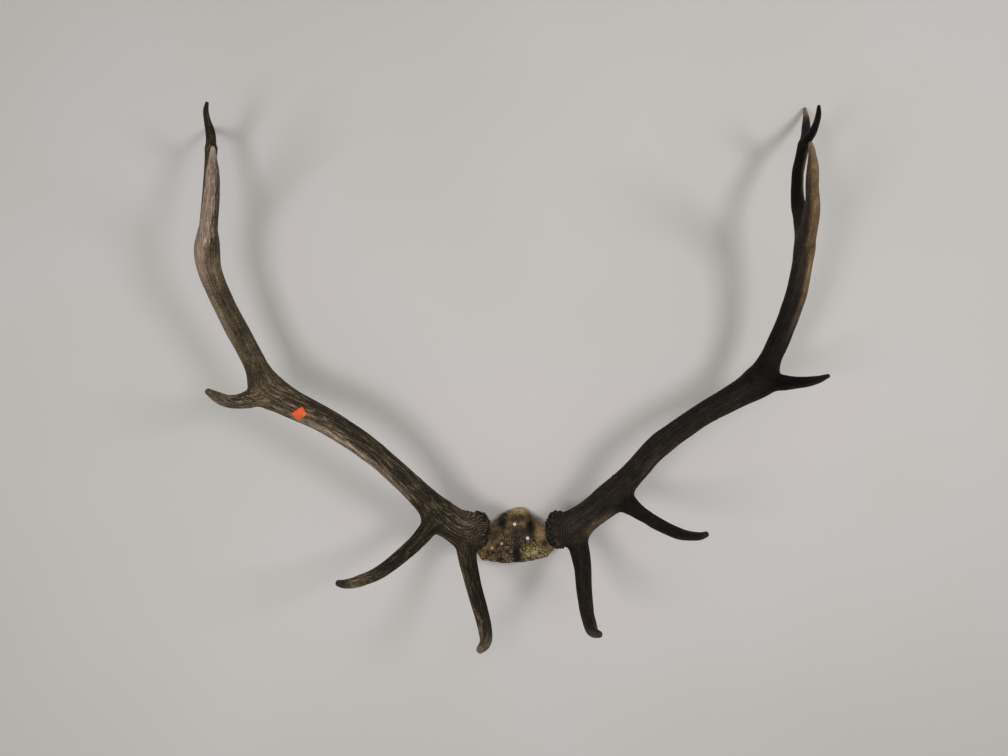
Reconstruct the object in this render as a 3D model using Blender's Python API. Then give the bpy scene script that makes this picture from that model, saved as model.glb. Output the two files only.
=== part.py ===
"""A pair of elk antlers, six points each, grown on one sawn plate of skull and lying on its back.

Metres, +Z up. The floor is z = 0 and the origin is the centre of the footprint. +Y runs from the skull
to the crowns, left is -X. Each antler is one grown bone, parted by thin saw gaps at its main forks.
"""

import math
import random

import bmesh
import bpy
from mathutils import Matrix, Vector, noise
from mathutils.bvhtree import BVHTree

MM = 0.001

# Gaps and the saw, whose round blade is this many beam radii wide
SAW_GAP = 0.3
TOUCH_GAP = 0.3
SAW_REACH = 1.45
SAW_SIDES = 20

# Neighbouring faces that differ by less than this are one face. The two lengths are metres
FLAT_ANGLE = math.radians(0.4)
MERGE_LENGTH = 1e-6
SLIVER_LENGTH = 2e-5

# Edges sharper than this stay crisp
ANTLER_CREASE = 50.0
PLATE_CREASE = 45.0
SCREW_CREASE = 35.0
STICKER_CREASE = 60.0

# Centre lines: points read between two control points, and the step for looking up a place
LINE_PARTS = 12
LOOKUP_STEP = 3.0

# Antler skin: sides around, spacing of rings along, and depth of the long grooves
BEAM_SIDES = 16
TINE_SIDES = 12
BEAM_STEP = 27.0
TINE_STEP = 24.0
GROOVE_DEPTH = 0.055
GROOVE_DRIFT = 0.8
DRIFT_TURN = 1.7
DRIFT_ALONG = 0.012
POLISH_START = 0.55
POLISH_LENGTH = 0.45

# Tips end in a ring this many tip radii before the end, and a smaller ring at the end
TIP_ROUND = 0.6
TIP_CAP = 0.5

# Random order: one seed for each antler, and steps from it for its burr, tines and pearls
SEEDS = {"left": 7, "right": 107}
BURR_SEED = 1
TINE_SEED = 10
PEARL_SEED = 30

# Burr: the knobbly ring at the foot of an antler
BURR_SIDES = 24
BURR_RADIUS = 29.5
BURR_KNOB = 2.6
BURR_KNOB_SHARE = (0.2, 1.0)
BURR_DIP = -0.7
BURR_UNEVEN = 0.3
BURR_RIM_ROWS = 2.5
BURR_PROFILE = ((0.0, 0.80), (1.5, 0.97), (6.0, 1.06), (11.0, 0.99), (15.0, 0.84), (19.0, 0.60))

# The beam starts this far inside its burr
BEAM_FOOT_LIFT = 3

# Pearls: small lumps on the lower beam, with their stretch along it and their share of half a turn
PEARL_COUNT = 6
PEARL_RADIUS = (2.0, 3.2)
PEARL_SINK = 0.4
PEARL_STRETCH = (38, 330)
PEARL_ARC_START = 0.1
PEARL_ARC = 0.8
PEARL_TURN = 3

# Centre lines in millimetres, each point with its radius
LEFT = {
    "burr_axis": (-0.72, 0.24, 0.65),
    "beam": [
        (-40, -305, 57, 25.5), (-58, -298, 69, 26.5), (-80, -290, 77, 26), (-105, -269, 86, 24.3),
        (-126, -244, 99, 21),
        (-156, -209, 118, 18.7), (-194, -169, 134, 18.3), (-235, -135, 143, 19), (-285, -105, 141, 19.8),
        (-340, -80, 129, 22.5), (-372, -60, 121, 23.5), (-392, -20, 119, 17.3), (-412, 22, 123, 17),
        (-435, 78, 136, 16.5), (-446, 120, 150, 17), (-447, 152, 157, 16.5), (-446, 188, 153, 13),
        (-449, 228, 140, 10.2), (-454, 275, 119, 9.2), (-460, 314, 98, 8.8), (-476, 339, 60, 6.8),
        (-489, 356, 30, 5.4), (-501, 370, 0.9, 3.0)],
    "brow": [
        (-72, -300, 72, 18), (-62, -324, 90, 15.9), (-57, -343, 112, 13.8), (-47, -368, 148, 12.6),
        (-33, -398, 195, 11.4), (-27, -413, 222, 10), (-27, -418, 247, 8.5), (-35, -417, 275, 5)],
    "bez": [
        (-105, -271, 85, 20), (-120, -286, 104, 15.5), (-142, -307, 135, 12), (-164, -320, 170, 11),
        (-186, -328, 208, 9.8), (-206, -327, 247, 8.2), (-219, -320, 280, 6.4), (-226, -311, 302, 4)],
    "trez": [
        (-370, -62, 120, 21), (-388, -74, 148, 15), (-397, -76, 177, 11), (-403, -73, 206, 9.6),
        (-407, -65, 234, 7.8), (-410, -53, 266, 4)],
    "dagger": [
        (-448, 150, 156, 15), (-429.5, 190, 192, 12.9), (-411, 218, 230, 11.2), (-394, 236, 270, 10.2),
        (-375, 247, 316, 6.4), (-358, 255, 360, 2.4)],
    "front": [
        (-460, 313, 98, 8), (-451, 331, 122, 7), (-444, 343, 152, 5), (-438, 352, 172, 4),
        (-430, 361, 187, 2.2)],
}

RIGHT = {
    "burr_axis": (0.72, 0.22, 0.66),
    "beam": [
        (86.5, -303.5, 57, 25.5), (105, -297, 69, 25.5), (124.5, -284.5, 76, 24.2), (158.5, -255, 88, 23.3),
        (184, -225, 98, 20.8),
        (210, -193, 112, 18.8), (244, -149, 130, 18.2), (303, -102, 143, 17.8), (352, -75, 138, 19.4),
        (398, -50, 123, 22.5), (418.5, -15, 119, 16.6), (433.5, 22, 121, 16), (443, 56, 129, 15.8),
        (450, 98, 142, 15.2), (453, 154, 157, 14.2), (450, 190, 153, 12), (447, 228, 140, 9.8),
        (453, 269, 122, 9.2), (464, 303, 107, 9), (473, 325, 94, 8.2), (488, 350, 60, 6.6),
        (500, 377, 30, 5.5), (508, 405, 1.0, 2.4)],
    "brow": [
        (119, -298, 70, 18.5), (123, -324, 86, 16.5), (126, -350, 115, 14), (125, -374, 147, 12.2),
        (126, -396, 180, 11), (128, -406, 210, 9.8), (129, -405, 238, 8.6), (135, -396, 270, 5)],
    "bez": [
        (170, -243, 91, 20), (196, -246, 114, 15.6), (213, -254, 145, 11), (234, -262, 182, 10),
        (255, -265, 222, 8.3), (271, -258, 262, 6.2), (279, -248, 286, 3.6)],
    "trez": [
        (402, -48, 121, 21), (424, -50, 148, 14), (434, -48, 176, 9.6), (440, -45, 204, 8.2),
        (445, -40, 234, 6), (449, -32, 264, 2.6)],
    "dagger": [
        (451, 150, 156, 13.5), (446, 184, 190, 12.6), (436.5, 209, 222, 10.6), (422, 229, 256, 9),
        (406, 244, 296, 7.4), (387, 254, 340, 4.6), (374, 259, 366, 2.4)],
    "front": [
        (470, 321, 96, 8), (471, 330, 126, 6.8), (467, 338, 152, 5.2), (462, 346, 172, 4.2),
        (456, 356, 188, 2.2)],
}

# Distance along a centre line at which the saw parts it from what it grew on
TINE_SAWS = {"brow": 56, "bez": 50, "trez": 48, "dagger": 54, "front": 27}
BEAM_SAWS = {"left": (497, 745, 893), "right": (491, 709, 862)}
PAST_THE_SAW = 14
BEAM_PIECES = ("lower_beam", "upper_beam", "crown_beam", "rear_point")
TINE_PIECES = {"brow": "brow_tine", "bez": "bez_tine", "trez": "trez_tine", "dagger": "dagger_tine",
               "front": "front_point"}

# Skull plate, in its own frame: x to the right, f forward from the rear edge, u up from the sawn face
PLATE_ORIGIN = (22.0, -279.0, 0.0)
PLATE_TILT = math.radians(11.0)
PLATE_LENGTH = 93.0
PLATE_FRONT_CENTRE = -15.0
PLATE_FRONT_BOW = 0.0022
PLATE_COLUMNS = 20
PLATE_ROWS = 15
PLATE_SIDES = ((0, -1, 12), (6, -16, 20), (13, -27, 26), (26, -41, 39), (42, -52, 51), (56, -62, 63),
               (68, -68, 69), (80, -69, 65), (93, -61, 53))
PLATE_CROWN = ((0, 9), (10, 21), (25, 33), (42, 40), (58, 39), (76, 32), (93, 20))
PLATE_EDGE = ((0, 7), (26, 15), (48, 21), (70, 18), (93, 9))
PLATE_DOME = 2.4
SUTURE_START = 52.0
SUTURE_RAMP = 14
SUTURE_DEPTH = 8.0
SUTURE_WIDTH = 4.2
HOLLOWS = ((-31, 21, 6.0, 8.0), (30, 20, 6.0, 8.0), (-20, 62, 2.5, 9.0), (24, 66, 2.0, 9.0))
BONE_LUMP = 1.5
BONE_LUMPS_PER_MM = 0.11
BONE_LUMP_SEED = 3.0
PEDICLE_SIDES = 16
PEDICLE_LENGTH = 46.0
PEDICLE_SHIFT = (0.0, -12.0, 0.0)
PEDICLE_PROFILE = ((1.0, 24.0), (0.6, 20.5), (0.25, 18.0), (0.0, 19.5))

# Screws, with the place of each head in the plate's own frame
SCREWS = {"screw_top": (-4, 27), "screw_left": (-26, 59), "screw_right": (18, 50)}
SCREW_SIDES = 12
SCREW_HEAD = 3.0
SCREW_HEAD_HEIGHT = 1.7
SCREW_SUNK_SHARE = 0.6
SCREW_SEAT_EASE = 0.8
SCREW_SHANK = 1.7
SCREW_LENGTH = 16.0
SEAT_CUT_HEIGHT = 20
HOLE_OVERCUT = 1
SHANK_OVERLAP = 0.5

# Price sticker: its middle along the left beam, the side it faces, and its length, width and thickness
STICKER_DISTANCE = 359
STICKER_SIDE = (0.12, -0.28, 0.95)
STICKER_SIZE = (21.0, 14.5, 0.5)
STICKER_TURN = math.radians(-56.0)
STICKER_CELLS = (6, 4)
STICKER_PROBES = 8
PROBE_REACH = 100
STICKER_CLEARANCE = 0.45

COLOURS = {
    "left_antler": (0.075, 0.050, 0.032),
    "right_antler": (0.033, 0.021, 0.014),
    "left_dagger_tine": (0.21, 0.155, 0.115),
    "right_dagger_tine": (0.090, 0.052, 0.024),
    "skull_plate": (0.17, 0.125, 0.065),
    "screw": (0.62, 0.58, 0.50),
    "price_sticker": (0.72, 0.105, 0.035),
}
BONE_ROUGHNESS = 0.6
SCREW_ROUGHNESS = 0.35
SCREW_METALLIC = 0.9


def clear_scene():
    for obj in list(bpy.data.objects):
        bpy.data.objects.remove(obj, do_unlink=True)


def material(name, colour, roughness, metallic=0.0):
    mat = bpy.data.materials.new(name)
    mat.use_nodes = True
    shader = mat.node_tree.nodes["Principled BSDF"]
    shader.inputs["Base Color"].default_value = (*colour, 1.0)
    shader.inputs["Roughness"].default_value = roughness
    shader.inputs["Metallic"].default_value = metallic
    return mat


def between(table, where):
    """Read a table of (place, value, ...) rows at a place, easing from row to row."""
    if where <= table[0][0]:
        return table[0][1:]
    for low, high in zip(table, table[1:]):
        if where <= high[0]:
            share = (where - low[0]) / (high[0] - low[0])
            share = share * share * (3 - 2 * share)
            return tuple(a + (b - a) * share for a, b in zip(low[1:], high[1:]))
    return table[-1][1:]


def smooth_line(points, step):
    """Run a rounded line through the points. Returns (place, radius, distance) at equal steps."""
    rows = [Vector(p) for p in points]
    first = rows[0] * 2 - rows[1]
    last = rows[-1] * 2 - rows[-2]
    rows = [first] + rows + [last]
    fine = []
    for a, b, c, d in zip(rows, rows[1:], rows[2:], rows[3:]):
        for i in range(LINE_PARTS):
            t = i / LINE_PARTS
            fine.append(0.5 * ((2 * b) + (c - a) * t + (2 * a - 5 * b + 4 * c - d) * t * t
                               + (3 * b - a - 3 * c + d) * t * t * t))
    fine.append(rows[-2])
    lengths = [0.0]
    for p, q in zip(fine, fine[1:]):
        lengths.append(lengths[-1] + (q.xyz - p.xyz).length)
    count = max(4, round(lengths[-1] / step))
    line = []
    k = 0
    for i in range(count + 1):
        goal = lengths[-1] * i / count
        while k < len(fine) - 2 and lengths[k + 1] < goal:
            k += 1
        share = (goal - lengths[k]) / max(1e-9, lengths[k + 1] - lengths[k])
        here = fine[k].lerp(fine[k + 1], share)
        line.append((here.xyz, here.w, goal))
    return line


def point_on(points, distance):
    """Place, direction and radius at a distance along a centre line."""
    line = smooth_line(points, LOOKUP_STEP)
    for i in range(1, len(line)):
        if line[i][2] >= distance:
            break
    here, radius, _ = line[i]
    after = line[min(i + 1, len(line) - 1)][0]
    return here, (after - line[i - 1][0]).normalized(), radius


def ring_frames(line, first_axis=None):
    """Directions across a line that turn with it and don't twist."""
    tangents = []
    for i in range(len(line)):
        low = line[max(0, i - 1)][0]
        high = line[min(len(line) - 1, i + 1)][0]
        tangents.append((high - low).normalized())
    if first_axis:
        tangents[0] = Vector(first_axis).normalized()
    side = tangents[0].cross(Vector((0, 0, 1)))
    side = side.normalized() if side.length > 0.1 else Vector((1, 0, 0))
    frames = []
    for i, tangent in enumerate(tangents):
        if i:
            side = tangents[i - 1].rotation_difference(tangent) @ side
        side = (side - tangent * side.dot(tangent)).normalized()
        frames.append((side, tangent.cross(side)))
    return frames


def move_ring(verts, middle, frame, radii):
    side, up = frame
    for k, vert in enumerate(verts):
        angle = 2 * math.pi * k / len(verts)
        vert.co = (middle + (side * math.cos(angle) + up * math.sin(angle)) * radii[k]) * MM


def tube(name, line, sides, radius_of, first_axis=None):
    """A closed tube: a circle extruded from ring to ring along a line."""
    frames = ring_frames(line, first_axis)
    bm = bmesh.new()
    made = bmesh.ops.create_circle(bm, cap_ends=False, segments=sides, radius=1.0)
    ring = made["verts"]
    move_ring(ring, line[0][0], frames[0], [radius_of(0, k) for k in range(sides)])
    edges = list(bm.edges)
    first = list(edges)
    for i in range(1, len(line)):
        grown = bmesh.ops.extrude_edge_only(bm, edges=edges)["geom"]
        new_verts = {v for v in grown if isinstance(v, bmesh.types.BMVert)}
        across = {}
        for vert in ring:
            partners = (e.other_vert(vert) for e in vert.link_edges)
            across[vert] = next(other for other in partners if other in new_verts)
        ring = [across[vert] for vert in ring]
        edges = [e for e in grown if isinstance(e, bmesh.types.BMEdge)]
        edges = [e for e in edges if e.verts[0] in new_verts and e.verts[1] in new_verts]
        move_ring(ring, line[i][0], frames[i], [radius_of(i, k) for k in range(sides)])
    bmesh.ops.contextual_create(bm, geom=first)
    bmesh.ops.contextual_create(bm, geom=edges)
    bmesh.ops.triangulate(bm, faces=bm.faces)
    bmesh.ops.recalc_face_normals(bm, faces=bm.faces)
    return to_object(name, bm)


def to_object(name, bm):
    mesh = bpy.data.meshes.new(name)
    bm.to_mesh(mesh)
    bm.free()
    obj = bpy.data.objects.new(name, mesh)
    bpy.context.collection.objects.link(obj)
    return obj


def boolean(obj, others, operation):
    """Join or cut an object with helpers one after another, and throw the helpers away."""
    for other in others:
        step = obj.modifiers.new("boolean", "BOOLEAN")
        step.operation = operation
        step.solver = "EXACT"
        step.object = other
        bpy.context.view_layer.update()
        result = bpy.data.meshes.new_from_object(obj.evaluated_get(bpy.context.evaluated_depsgraph_get()))
        obj.modifiers.clear()
        obj.data = result
        bpy.data.objects.remove(other, do_unlink=True)


def round_tip(line):
    """Draw the last ring in a little and close the tip with a smaller one."""
    here, radius, distance = line[-1]
    along = (here - line[-2][0]).normalized()
    wide = (here - along * radius * TIP_ROUND, radius, distance)
    return line[:-1] + [wide, (here, radius * TIP_CAP, distance)]


def antler_tube(name, points, sides, step, seed, first_axis=None):
    """A beam or tine with long ridges and grooves that fade out toward its polished tip."""
    line = round_tip(smooth_line(points, step))
    pick = random.Random(seed)
    ridges = [pick.uniform(-1, 1) for _ in range(sides)]
    total = line[-1][2]

    def radius_of(i, k):
        _, radius, distance = line[i]
        fade = 1 - max(0.0, distance / total - POLISH_START) / POLISH_LENGTH
        drift = noise.noise(Vector((k * DRIFT_TURN, distance * DRIFT_ALONG, seed)))
        return radius * (1 + GROOVE_DEPTH * fade * (ridges[k] + GROOVE_DRIFT * drift))

    return tube(name, line, sides, radius_of, first_axis)


def burr(name, middle, axis, seed):
    """The ring of fused knobs that stands around the foot of the beam."""
    pick = random.Random(seed)
    knobs = [pick.uniform(*BURR_KNOB_SHARE) * (1 if k % 2 else BURR_DIP) for k in range(BURR_SIDES)]
    line = [(middle + axis * rise, BURR_RADIUS * share, rise) for rise, share in BURR_PROFILE]
    rim = len(line) // 2

    def radius_of(i, k):
        near_rim = max(0.0, 1 - abs(i - rim + 0.5) / BURR_RIM_ROWS)
        return line[i][1] + BURR_KNOB * near_rim * (knobs[k] + pick.uniform(-BURR_UNEVEN, BURR_UNEVEN))

    return tube(name, line, BURR_SIDES, radius_of, axis)


def pearls(points, seed):
    """Small lumps half sunk in the skin of the lower beam."""
    pick = random.Random(seed)
    lumps = []
    for number in range(PEARL_COUNT):
        here, along, radius = point_on(points, pick.uniform(*PEARL_STRETCH))
        side = along.cross(Vector((0, 0, 1))).normalized()
        angle = math.pi * (PEARL_ARC_START + PEARL_ARC * pick.random())
        out = side * math.cos(angle) + side.cross(along).normalized() * math.sin(angle)
        size = pick.uniform(*PEARL_RADIUS)
        bm = bmesh.new()
        bmesh.ops.create_icosphere(bm, subdivisions=1, radius=size * MM)
        bmesh.ops.rotate(bm, verts=bm.verts, matrix=Matrix.Rotation(pick.random() * PEARL_TURN, 3, along))
        bmesh.ops.translate(bm, verts=bm.verts, vec=(here + out * (radius - size * PEARL_SINK)) * MM)
        lumps.append(to_object(f"pearl_{number}", bm))
    return lumps


def saw(points, distance):
    """A thin round blade across a centre line."""
    here, along, radius = point_on(points, distance)
    bm = bmesh.new()
    reach = radius * SAW_REACH * MM
    bmesh.ops.create_cone(bm, cap_ends=True, segments=SAW_SIDES, radius1=reach, radius2=reach,
                          depth=SAW_GAP * MM)
    turn = Vector((0, 0, 1)).rotation_difference(along).to_matrix()
    bmesh.ops.rotate(bm, verts=bm.verts, matrix=turn)
    bmesh.ops.translate(bm, verts=bm.verts, vec=here * MM)
    return to_object("saw", bm)


def islands(obj):
    """Part a mesh into its loose bodies."""
    bm = bmesh.new()
    bm.from_mesh(obj.data)
    bmesh.ops.remove_doubles(bm, verts=bm.verts, dist=MERGE_LENGTH)
    bmesh.ops.dissolve_degenerate(bm, edges=bm.edges, dist=SLIVER_LENGTH)
    bmesh.ops.dissolve_limit(bm, angle_limit=FLAT_ANGLE, verts=bm.verts, edges=bm.edges)
    left = set(bm.verts)
    bodies = []
    while left:
        body = set()
        front = [next(iter(left))]
        while front:
            vert = front.pop()
            if vert in body:
                continue
            body.add(vert)
            front.extend(e.other_vert(vert) for e in vert.link_edges)
        left -= body
        bodies.append(body)
    made = []
    for body in bodies:
        part = bm.copy()
        part.verts.ensure_lookup_table()
        keep = {v.index for v in body}
        bmesh.ops.delete(part, geom=[v for v in part.verts if v.index not in keep], context="VERTS")
        made.append(part)
    bm.free()
    return made


def nearest_body(bodies, place):
    """The loose body whose skin comes closest around a place inside it."""
    return min(bodies, key=lambda bm: BVHTree.FromBMesh(bm).find_nearest(place * MM)[3])


def finish(obj, parent, origin, mat, crease):
    """Give a piece its material and smooth shading, and hang it on its parent at its own root."""
    bm = bmesh.new()
    bm.from_mesh(obj.data)
    bmesh.ops.triangulate(bm, faces=bm.faces)
    bmesh.ops.recalc_face_normals(bm, faces=bm.faces)
    bmesh.ops.translate(bm, verts=bm.verts, vec=-origin * MM)
    bm.to_mesh(obj.data)
    bm.free()
    obj.data.materials.clear()
    obj.data.materials.append(mat)
    obj.data.shade_smooth()
    obj.data.set_sharp_from_angle(angle=math.radians(crease))
    obj.parent = parent
    obj.location = origin * MM - parent.location
    return obj


def build_antler(side, shape, parent, mats, seed):
    """One antler: tubes joined at the forks, then parted again by the saw."""
    axis = Vector(shape["burr_axis"]).normalized()
    foot = Vector(shape["beam"][0][:3])
    beam = list(shape["beam"])
    beam[0] = (*(foot + axis * BEAM_FOOT_LIFT), beam[0][3])
    whole = antler_tube(f"{side}_antler", beam, BEAM_SIDES, BEAM_STEP, seed, axis)
    joined = [burr("burr", foot, axis, seed + BURR_SEED)]
    for number, tine in enumerate(TINE_PIECES):
        joined.append(antler_tube(tine, shape[tine], TINE_SIDES, TINE_STEP, seed + TINE_SEED + number))
    joined += pearls(shape["beam"], seed + PEARL_SEED)
    boolean(whole, joined, "UNION")

    cuts = [saw(shape["beam"], distance) for distance in BEAM_SAWS[side]]
    cuts += [saw(shape[tine], distance) for tine, distance in TINE_SAWS.items()]
    boolean(whole, cuts, "DIFFERENCE")
    bodies = islands(whole)
    bpy.data.objects.remove(whole, do_unlink=True)

    starts = (0,) + BEAM_SAWS[side]
    wanted = []
    for name, start in zip(BEAM_PIECES, starts):
        wanted.append((name, shape["beam"], start))
    for tine, name in TINE_PIECES.items():
        wanted.append((name, shape[tine], TINE_SAWS[tine]))
    if len(bodies) != len(wanted):
        raise RuntimeError(f"{side}: the saw left {len(bodies)} bodies, not {len(wanted)}")
    for name, points, start in wanted:
        root = point_on(points, start)[0]
        inside = point_on(points, start + PAST_THE_SAW)
        body = nearest_body(bodies, inside[0] + inside[1].orthogonal().normalized() * inside[2])
        bodies.remove(body)
        obj = to_object(f"{side}_{name}", body)
        skin = mats.get(f"{side}_{name}", mats[f"{side}_antler"])
        finish(obj, parent, root, skin, ANTLER_CREASE)


def plate_height(x, f):
    """Height of the skull's outer face above the sawn face."""
    low, high = between(PLATE_SIDES, f)
    middle = (low + high) / 2
    reach = abs(x - middle) / ((high - low) / 2)
    crown = between(PLATE_CROWN, f)[0]
    edge = between(PLATE_EDGE, f)[0]
    height = edge + (crown - edge) * (1 - min(1.0, reach) ** PLATE_DOME)
    deep = min(1.0, max(0.0, (f - SUTURE_START) / SUTURE_RAMP))
    height -= SUTURE_DEPTH * deep * math.exp(-(x / SUTURE_WIDTH) ** 2)
    for cx, cf, depth, size in HOLLOWS:
        height -= depth * math.exp(-((x - cx) ** 2 + (f - cf) ** 2) / size ** 2)
    lump = Vector((x * BONE_LUMPS_PER_MM, f * BONE_LUMPS_PER_MM, BONE_LUMP_SEED))
    return height + BONE_LUMP * noise.noise(lump)


def plate_place(x, f, u):
    """A point of the plate's own frame in the rack's frame."""
    sine, cosine = math.sin(PLATE_TILT), math.cos(PLATE_TILT)
    return Vector(PLATE_ORIGIN) + Vector((x, -f * cosine + u * sine, f * sine + u * cosine))


def build_plate(parent, mat):
    """The skull plate: a grid shaped as the domed bone, its rim pulled down to the sawn face."""
    bm = bmesh.new()
    made = bmesh.ops.create_grid(bm, x_segments=PLATE_COLUMNS, y_segments=PLATE_ROWS, size=1.0)
    for vert in made["verts"]:
        across = (vert.co.x + 1) / 2
        share = (vert.co.y + 1) / 2
        low, high = between(PLATE_SIDES, share * PLATE_LENGTH)
        x = low + (high - low) * across
        f = share * (PLATE_LENGTH - PLATE_FRONT_BOW * (x - PLATE_FRONT_CENTRE) ** 2)
        vert.co = (x, f, plate_height(x, f))
    rim = [e for e in bm.edges if e.is_boundary]
    grown = bmesh.ops.extrude_edge_only(bm, edges=rim)["geom"]
    for vert in (v for v in grown if isinstance(v, bmesh.types.BMVert)):
        vert.co.z = 0.0
    low_rim = [e for e in bm.edges if e.is_boundary]
    bmesh.ops.contextual_create(bm, geom=low_rim)
    for vert in bm.verts:
        vert.co = plate_place(*vert.co) * MM
    bmesh.ops.triangulate(bm, faces=bm.faces)
    bmesh.ops.recalc_face_normals(bm, faces=bm.faces)
    plate = to_object("skull_plate", bm)

    joined = []
    for shape in (LEFT, RIGHT):
        axis = Vector(shape["burr_axis"]).normalized()
        shift = Vector(PEDICLE_SHIFT)
        foot = Vector(shape["beam"][0][:3]) - axis * TOUCH_GAP + shift - axis * shift.dot(axis)
        line = [(foot - axis * PEDICLE_LENGTH * share, radius, 0) for share, radius in PEDICLE_PROFILE]
        joined.append(tube("pedicle", line, PEDICLE_SIDES, lambda i, k, rows=line: rows[i][1], axis))
    boolean(plate, joined, "UNION")
    return plate


def cylinder(name, radius, low, high, x, f):
    """An upright round bar in the plate's own frame."""
    bm = bmesh.new()
    bmesh.ops.create_cone(bm, cap_ends=True, segments=SCREW_SIDES, radius1=radius, radius2=radius,
                          depth=high - low)
    for vert in bm.verts:
        vert.co = plate_place(x + vert.co.x, f + vert.co.y, vert.co.z + (low + high) / 2) * MM
    bmesh.ops.recalc_face_normals(bm, faces=bm.faces)
    return to_object(name, bm)


def build_screws(plate, parent, mats):
    """Three screws, each in its own hole with a seat for its head."""
    for name, (x, f) in SCREWS.items():
        seat = plate_height(x, f) - SCREW_HEAD_HEIGHT * SCREW_SUNK_SHARE
        deep = seat - SCREW_LENGTH
        wide = SCREW_HEAD + SCREW_SEAT_EASE
        hole = [cylinder("seat", wide, seat - TOUCH_GAP, seat + SEAT_CUT_HEIGHT, x, f),
                cylinder("hole", SCREW_SHANK + TOUCH_GAP, deep - TOUCH_GAP, seat + HOLE_OVERCUT, x, f)]
        boolean(plate, hole, "DIFFERENCE")
        head = cylinder(name, SCREW_HEAD, seat, seat + SCREW_HEAD_HEIGHT, x, f)
        boolean(head, [cylinder("shank", SCREW_SHANK, deep, seat + SHANK_OVERLAP, x, f)], "UNION")
        finish(head, parent, plate_place(x, f, seat), mats["screw"], SCREW_CREASE)


def build_sticker(target, parent, mat):
    """A bare paper label bent round the left beam, just clear of the highest ridges under it."""
    bpy.context.view_layer.update()
    skin = bmesh.new()
    skin.from_mesh(target.data)
    bmesh.ops.transform(skin, matrix=target.matrix_world, verts=skin.verts)
    tree = BVHTree.FromBMesh(skin)
    skin.free()
    middle, along, radius = point_on(LEFT["beam"], STICKER_DISTANCE)
    out = Vector(STICKER_SIDE)
    out = (out - along * out.dot(along)).normalized()
    across = along.cross(out)
    length, width, thickness = STICKER_SIZE

    def bearing(x, y):
        return out * math.cos(y / radius) + across * math.sin(y / radius)

    bm = bmesh.new()
    bmesh.ops.create_grid(bm, x_segments=STICKER_CELLS[0], y_segments=STICKER_CELLS[1], size=0.5)
    bmesh.ops.scale(bm, vec=(length, width, 1), verts=bm.verts)
    bmesh.ops.rotate(bm, matrix=Matrix.Rotation(STICKER_TURN, 3, "Z"), verts=bm.verts)
    highest = 0.0
    half = max(length, width) / 2
    for i in range(-STICKER_PROBES, STICKER_PROBES + 1):
        for j in range(-STICKER_PROBES, STICKER_PROBES + 1):
            x, y = half * i / STICKER_PROBES, half * j / STICKER_PROBES
            start = middle + along * x + bearing(x, y) * PROBE_REACH
            hit = tree.ray_cast(start * MM, -bearing(x, y))[0]
            highest = max(highest, (hit / MM - middle - along * x).length)
    inner = highest + STICKER_CLEARANCE
    top = bmesh.ops.extrude_face_region(bm, geom=bm.faces[:])["geom"]
    top = {v for v in top if isinstance(v, bmesh.types.BMVert)}
    for vert in bm.verts:
        reach = inner + (thickness if vert in top else 0.0)
        x, y = vert.co.x, vert.co.y
        vert.co = (middle + along * x + bearing(x, y) * reach) * MM
    bmesh.ops.recalc_face_normals(bm, faces=bm.faces)
    finish(to_object("price_sticker", bm), parent, middle + out * inner, mat, STICKER_CREASE)


def empty(name, parent=None, place=(0, 0, 0)):
    obj = bpy.data.objects.new(name, None)
    bpy.context.collection.objects.link(obj)
    obj.parent = parent
    obj.location = Vector(place) * MM
    return obj


def settle(rack):
    """Put the middle of the footprint over the origin and the lowest point on the floor."""
    bpy.context.view_layer.update()
    points = [o.matrix_world @ v.co for o in bpy.data.objects if o.type == "MESH" for v in o.data.vertices]
    low = Vector([min(p[i] for p in points) for i in range(3)])
    high = Vector([max(p[i] for p in points) for i in range(3)])
    rack.location = Vector((-(low.x + high.x) / 2, -(low.y + high.y) / 2, -low.z))


def main():
    clear_scene()
    mats = {"screw": material("zinc_screw", COLOURS["screw"], SCREW_ROUGHNESS, SCREW_METALLIC)}
    for name, colour in COLOURS.items():
        if name != "screw":
            mats[name] = material(name, colour, BONE_ROUGHNESS)
    rack = empty("elk_antlers")
    for side, shape in (("left", LEFT), ("right", RIGHT)):
        stand = empty(f"{side}_antler_root", rack, shape["beam"][0][:3])
        build_antler(side, shape, stand, mats, SEEDS[side])
    plate = build_plate(rack, mats["skull_plate"])
    build_screws(plate, rack, mats)
    finish(plate, rack, Vector(PLATE_ORIGIN), mats["skull_plate"], PLATE_CREASE)
    build_sticker(bpy.data.objects["left_lower_beam"], rack, mats["price_sticker"])
    settle(rack)


main()
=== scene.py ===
# %% [markdown]
# # A pair of elk antlers on their skull plate
# A bull elk grows a new pair of antlers every year. Each antler is one bone that forks as it grows:
# brow, bez and trez tines near the head, then the long dagger tine, then the last fork at the crown.
# This pair is still on the piece of skull that was sawn out with it, and the rack lies on its back.
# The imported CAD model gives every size. This lesson builds the finished skin over it.

# %% Load the frame
import math
import random

import bmesh
import bpy
import numpy as np
from mathutils import Matrix, Vector, noise
from mathutils.bvhtree import BVHTree
from mathutils.kdtree import KDTree


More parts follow.
